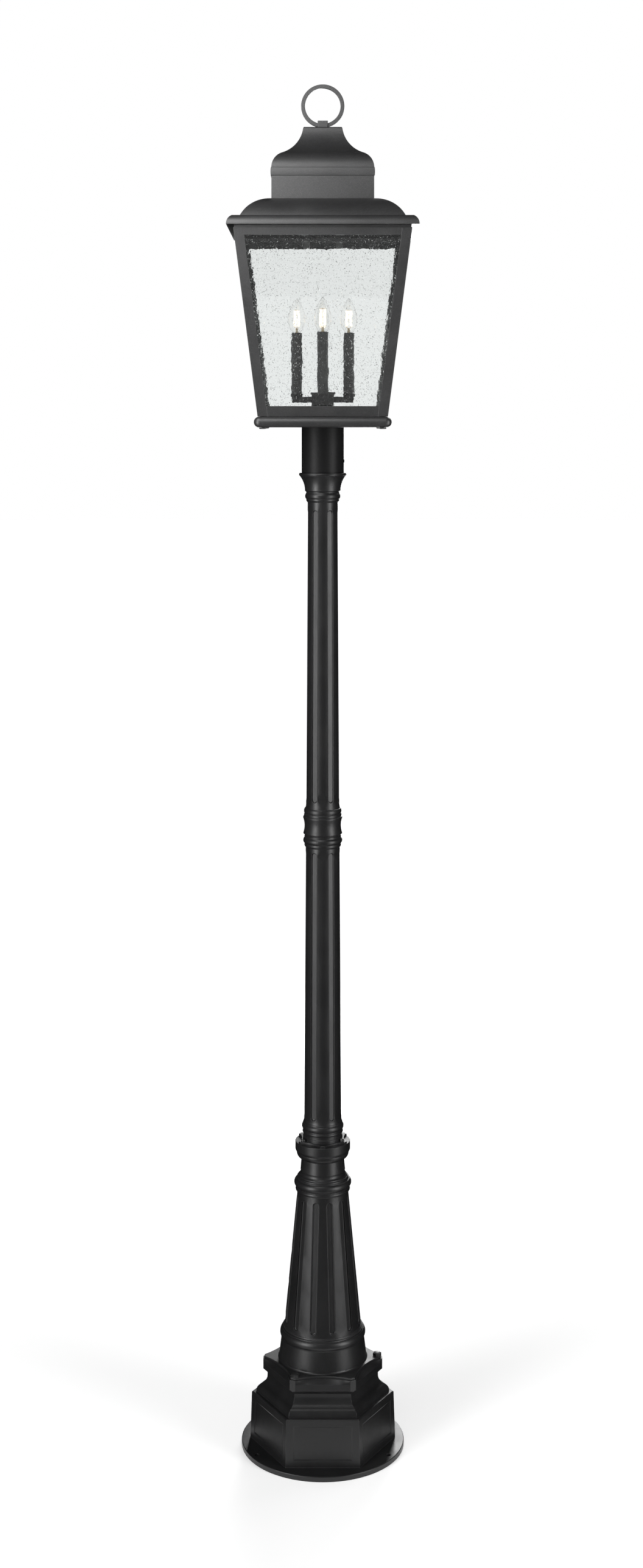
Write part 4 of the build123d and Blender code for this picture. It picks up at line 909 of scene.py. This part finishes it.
class POSTLIGHT_OT_thumb_screws(Operator):
    """Build the knurled thumb screws under the tray"""

    bl_idname = "post_light.thumb_screws"
    bl_label = "Thumb screws"

    def execute(self, context):
        sizes = context.scene.post_light_sizes
        material = bpy.data.materials["lantern powder coat"]

        def knurl(angle, radius, height):
            if radius < 0.0062:
                return 0.0
            return -sizes.knurl_depth * (0.5 - 0.5 * cos(sizes.knurls * angle))

        for number in range(1, 5):
            node = f"thumb_screw_{number}"
            centre, low, high = middle(node)
            head = low + 0.003
            outline = [(0.0, low), (0.0052, low), (0.0066, low + 0.0006), (0.007, low + 0.0011)]
            outline += [(0.007, head - 0.0003), (0.0066, head), (0.0024, head)]
            outline += [(0.0024, high - 0.0006), (0.0018, high), (0.0, high)]
            built = bmesh.new()
            add_turned(built, outline, centre, sizes.knurls * 6, knurl)
            screw = finish_mesh(f"knurled_screw_{number}", built, material)
            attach(screw, f"thumb_{number}")
            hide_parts(node)
        return {"FINISHED"}


class POSTLIGHT_OT_panes(Operator):
    """Give the four panes their seeded glass"""

    bl_idname = "post_light.panes"
    bl_label = "Seeded panes"

    def execute(self, context):
        dress(PANES, seeded_glass(context))
        return {"FINISHED"}


class POSTLIGHT_OT_cluster(Operator):
    """Finish the candle sleeves, the sockets and what carries them"""

    bl_idname = "post_light.cluster"
    bl_label = "Candle cluster"

    def execute(self, context):
        sleeve = moulded("candle sleeve", (0.010, 0.010, 0.010, 1.0), 0.42, 0.56, 260.0, 0.00008)
        dress(("candle_sleeves",), sleeve)
        dress(("lamp_sockets", "splice_block"), moulded("socket plastic", (0.02, 0.02, 0.02, 1.0), 0.3, 0.42))
        dress(("socket_shells", "ground_screw"), plain_metal("brass", (0.78, 0.56, 0.24, 1.0), 0.22, 0.36))
        steel = plain_metal("plated steel", (0.56, 0.56, 0.57, 1.0), 0.26, 0.42, 320.0, (1.0, 1.0, 0.2))
        dress(PLATED_STEEL, steel)
        black = moulded("black insulation", (0.014, 0.014, 0.014, 1.0), 0.35, 0.5)
        dress(("live_leads", "supply_leads"), black)
        dress(("neutral_leads",), moulded("white insulation", (0.72, 0.72, 0.69, 1.0), 0.35, 0.5))
        dress(("ground_lead",), moulded("green insulation", (0.03, 0.22, 0.07, 1.0), 0.35, 0.5))
        return {"FINISHED"}


class POSTLIGHT_OT_bulbs(Operator):
    """Build the four flame bulbs with their caps and filaments"""

    bl_idname = "post_light.bulbs"
    bl_label = "Flame bulbs"

    def execute(self, context):
        sizes = context.scene.post_light_sizes
        clear = bulb_glass()
        nickel = plain_metal("nickel cap", (0.70, 0.68, 0.64, 1.0), 0.18, 0.3, 300.0)
        stem_glass = moulded("stem glass", (0.62, 0.50, 0.30, 1.0), 0.12, 0.25, 300.0)
        wire = plain_metal("support wire", (0.72, 0.46, 0.18, 1.0), 0.25, 0.4)
        lit = lit_filament(context)
        for number in range(1, 5):
            self.build_envelope(number, clear, sizes.envelope_wall)
            self.build_cap(number, nickel, sizes.thread_pitch)
            self.build_filament(number, stem_glass, wire, lit)
        return {"FINISHED"}

    def outline(self, foot, tip, inset):
        """Outline of the glass from its foot to its tip, moved inward by inset."""
        neck = (0.0069 - inset, foot + 0.0025)
        belly = (0.0172 - inset, foot + 0.0315)
        shoulder = (0.0095 - inset, foot + 0.0605)
        point = (0.0016, tip - 0.0012 - inset)
        points = [(0.0069 - inset, foot), neck]
        points += arc_points(neck, belly, 0.0029, 14)[1:]
        points += arc_points(belly, shoulder, 0.0020, 12)
        points += arc_points(shoulder, point, 0.0008, 8)
        points += [point, (0.0009, tip - 0.0003 - inset), (0.0, tip - inset)]
        return points

    def build_envelope(self, number, material, wall):
        """Clear glass, open at its foot, with an outer and an inner face."""
        centre, foot, tip = middle(f"bulb_glass_{number}")
        built = bmesh.new()
        add_turned(built, self.outline(foot, tip, 0.0), centre, 64)
        add_turned(built, self.outline(foot, tip, wall)[::-1], centre, 64)
        rim = [vert for vert in built.verts if abs(vert.co.z - foot) < 1e-6]
        rims = {edge for vert in rim for edge in vert.link_edges if edge.other_vert(vert) in rim}
        bmesh.ops.bridge_loops(built, edges=list(rims))
        envelope = finish_mesh(f"envelope_{number}", built, material, 60.0)
        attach(envelope, f"bulb_{number}")
        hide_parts(f"bulb_glass_{number}")

    def build_cap(self, number, material, pitch):
        """Threaded metal cap with a contact at its foot."""
        foot = middle(f"bulb_glass_{number}")[1]
        centre, low, high = middle(f"bulb_cap_{number}")
        shell_low = low + 0.003
        shell_high = high - 0.0025
        row_height = 0.0004

        def thread(angle, radius, height):
            if not shell_low + 0.002 < height < shell_high - 0.004 or radius < 0.0045:
                return 0.0
            return 0.00035 * sin(tau * height / pitch - angle)

        outline = [(0.0, low), (0.0018, low + 0.0002), (0.0026, low + 0.0012)]
        outline += [(0.0026, shell_low - 0.0004), (0.0042, shell_low), (0.0054, shell_low + 0.0012)]
        rows = int((shell_high - shell_low - 0.003) / row_height)
        outline += [(0.0057, shell_low + 0.0016 + row_height * row) for row in range(rows)]
        outline += [(0.0058, shell_high - 0.0006), (0.0072, shell_high), (0.0075, high - 0.0012)]
        outline += [(0.0075, high), (0.0070, high), (0.0070, foot), (0.0, foot)]
        built = bmesh.new()
        add_turned(built, outline, centre, 40, thread)
        cap = finish_mesh(f"screw_cap_{number}", built, material, 50.0)
        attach(cap, f"bulb_{number}")
        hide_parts(f"bulb_cap_{number}")

    def build_filament(self, number, stem_glass, wire, lit):
        """Glass stem, four lit sticks and the wires that hold them."""
        centre, low, high = middle(f"bulb_filament_{number}")
        stem_top = low + 0.0125
        built = bmesh.new()
        stem = [(0.0, low), (0.0046, low), (0.0036, low + 0.004), (0.0022, low + 0.008)]
        stem += [(0.0019, stem_top), (0.0013, stem_top + 0.0012), (0.0, stem_top + 0.0014)]
        add_turned(built, stem, centre, 24)
        glass_stem = finish_mesh(f"stem_{number}", built, stem_glass)
        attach(glass_stem, f"bulb_{number}")
        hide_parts(f"bulb_filament_{number}")

        sticks = bmesh.new()
        wires = bmesh.new()
        hub_top = Vector((centre[0], centre[1], stem_top))
        stick_foot = Vector((centre[0], centre[1], low + 0.0165))
        stick_head = Vector((centre[0], centre[1], high - 0.002))
        peak = Vector((centre[0], centre[1], high - 0.0004))
        for place in range(4):
            angle = radians(22.5 + 90.0 * place)
            out = Vector((cos(angle), sin(angle), 0.0))
            add_rod(sticks, stick_foot + out * 0.0060, stick_head + out * 0.0052, 0.00135)
            add_rod(wires, hub_top + out * 0.001, stick_foot + out * 0.0060, 0.00030, 8)
            add_rod(wires, stick_head + out * 0.0052, peak - out * 0.0004, 0.00028, 8)
        lit_sticks = finish_mesh(f"filament_sticks_{number}", sticks, lit)
        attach(lit_sticks, f"bulb_{number}")
        supports = finish_mesh(f"support_wires_{number}", wires, wire)
        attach(supports, f"bulb_{number}")


class POSTLIGHT_OT_stage(Operator):
    """Set up the floor, the dark screen, the lamps and the camera"""

    bl_idname = "post_light.stage"
    bl_label = "Stage"

    def execute(self, context):
        studio = context.scene.post_light_studio
        scene = context.scene
        self.build_floor(scene)
        self.light_world(scene)
        side_power = studio.softbox_power
        wide, narrow = (1.15, TALL_BOX_HEIGHT), (0.7, TALL_BOX_HEIGHT)
        add_softbox("softbox left", -studio.left_angle, wide, side_power, **TALL_BOX)
        add_softbox("softbox right", studio.right_angle, wide, 0.8 * side_power, **TALL_BOX)
        front = {"distance": 0.9, "level": 2.85, "dip": LANTERN_BOX_DIP}
        add_softbox("softbox front", radians(-35.0), LANTERN_BOX_SIZE, studio.front_power, **front)
        add_softbox("softbox behind", radians(172.0), narrow, 0.6 * side_power, **TALL_BOX)
        roof = {"distance": 1.6, "level": 3.2, "dip": LANTERN_BOX_DIP}
        add_softbox("softbox roof", radians(150.0), LANTERN_BOX_SIZE, studio.front_power, **roof)
        spread = studio.screen_opening
        openings = []
        for angle in (tau - studio.left_angle, studio.right_angle):
            openings.append((angle - spread, angle + spread))
        add_screen(studio.screen_radius, openings)

        camera = bpy.data.cameras.new("photo camera")
        camera.sensor_fit = "VERTICAL"
        camera.sensor_height = 36.0
        camera.lens = studio.focal_length
        camera.shift_x, camera.shift_y = CAMERA_SHIFT
        eye = bpy.data.objects.new("photo camera", camera)
        eye.location = (0.0, -studio.camera_distance, studio.camera_height)
        eye.rotation_euler = (radians(90.0), 0.0, 0.0)
        scene.collection.objects.link(eye)
        scene.camera = eye
        scene.view_settings.view_transform = "Standard"
        return {"FINISHED"}

    def build_floor(self, scene):
        """Round pale floor; what the camera sees of it gets whiter away from the post."""
        material, tree, shader = new_material("pale floor")
        shader.inputs["Base Color"].default_value = (0.82, 0.82, 0.82, 1.0)
        shader.inputs["Roughness"].default_value = 0.9
        shader.inputs["Specular IOR Level"].default_value = 0.1
        shader.inputs["Emission Color"].default_value = (1.0, 1.0, 1.0, 1.0)
        place = tree.add("ShaderNodeTexCoord")
        reach = tree.add("ShaderNodeVectorMath", operation="LENGTH")
        tree.nodes.links.new(place.outputs["Object"], reach.inputs[0])
        fade = tree.remap(reach.outputs["Value"], 0.4, 3.0, 0.36, 0.90, smooth=True)
        glow = tree.maths("MULTIPLY", seen_rays(tree), fade)
        tree.nodes.links.new(glow, shader.inputs["Emission Strength"])
        built = bmesh.new()
        rings = [[built.verts.new((0.0, 0.0, 0.0))]]
        for radius in FLOOR_RADII:
            ring = []
            for step in range(FLOOR_STEPS):
                angle = tau * step / FLOOR_STEPS
                ring.append(built.verts.new((radius * cos(angle), radius * sin(angle), 0.0)))
            rings.append(ring)
        join_rings(built, rings, FLOOR_STEPS)
        bmesh.ops.recalc_face_normals(built, faces=built.faces)
        mesh = bpy.data.meshes.new("floor")
        built.to_mesh(mesh)
        built.free()
        mesh.shade_smooth()
        mesh.materials.append(material)
        floor = bpy.data.objects.new("floor", mesh)
        scene.collection.objects.link(floor)

    def light_world(self, scene):
        """White surroundings that light the object only a little."""
        world = bpy.data.worlds.new("studio")
        world.use_nodes = True
        sky = Tree(world.node_tree)
        sky.nodes.nodes.clear()
        background = sky.add("ShaderNodeBackground")
        background.inputs["Color"].default_value = (1.0, 1.0, 1.0, 1.0)
        light = sky.remap(seen_rays(sky), 0.0, 1.0, 0.14, 1.0)
        sky.nodes.links.new(light, background.inputs["Strength"])
        output = sky.add("ShaderNodeOutputWorld")
        sky.nodes.links.new(background.outputs["Background"], output.inputs["Surface"])
        world.cycles.sampling_method = "NONE"
        scene.world = world


class POSTLIGHT_PT_panel(Panel):
    """Lists the steps that dress the post light"""

    bl_label = "Post Light"
    bl_idname = "POSTLIGHT_PT_panel"
    bl_space_type = "VIEW_3D"
    bl_region_type = "UI"
    bl_category = "Post Light"

    def draw(self, context):
        for step in STEPS:
            self.layout.operator(step.bl_idname)
        for group in ("post_light_finish", "post_light_sizes", "post_light_studio"):
            holder = getattr(context.scene, group)
            box = self.layout.box()
            for name in holder.__annotations__:
                box.prop(holder, name)


STEPS = (
    POSTLIGHT_OT_groups,
    POSTLIGHT_OT_stage,
    POSTLIGHT_OT_castings,
    POSTLIGHT_OT_bolts,
    POSTLIGHT_OT_lantern_metal,
    POSTLIGHT_OT_thumb_screws,
    POSTLIGHT_OT_panes,
    POSTLIGHT_OT_cluster,
    POSTLIGHT_OT_bulbs,
)
PROPERTIES = (PostLightFinish, PostLightSizes, PostLightStudio)


def register():
    for entry in PROPERTIES + STEPS + (POSTLIGHT_PT_panel,):
        bpy.utils.register_class(entry)
    bpy.types.Scene.post_light_finish = PointerProperty(type=PostLightFinish)
    bpy.types.Scene.post_light_sizes = PointerProperty(type=PostLightSizes)
    bpy.types.Scene.post_light_studio = PointerProperty(type=PostLightStudio)


def unregister():
    del bpy.types.Scene.post_light_studio
    del bpy.types.Scene.post_light_sizes
    del bpy.types.Scene.post_light_finish
    for entry in reversed(PROPERTIES + STEPS + (POSTLIGHT_PT_panel,)):
        bpy.utils.unregister_class(entry)


def main():
    register()
    for step in STEPS:
        group, action = step.bl_idname.split(".")
        getattr(getattr(bpy.ops, group), action)()


if __name__ == "__main__":
    main()
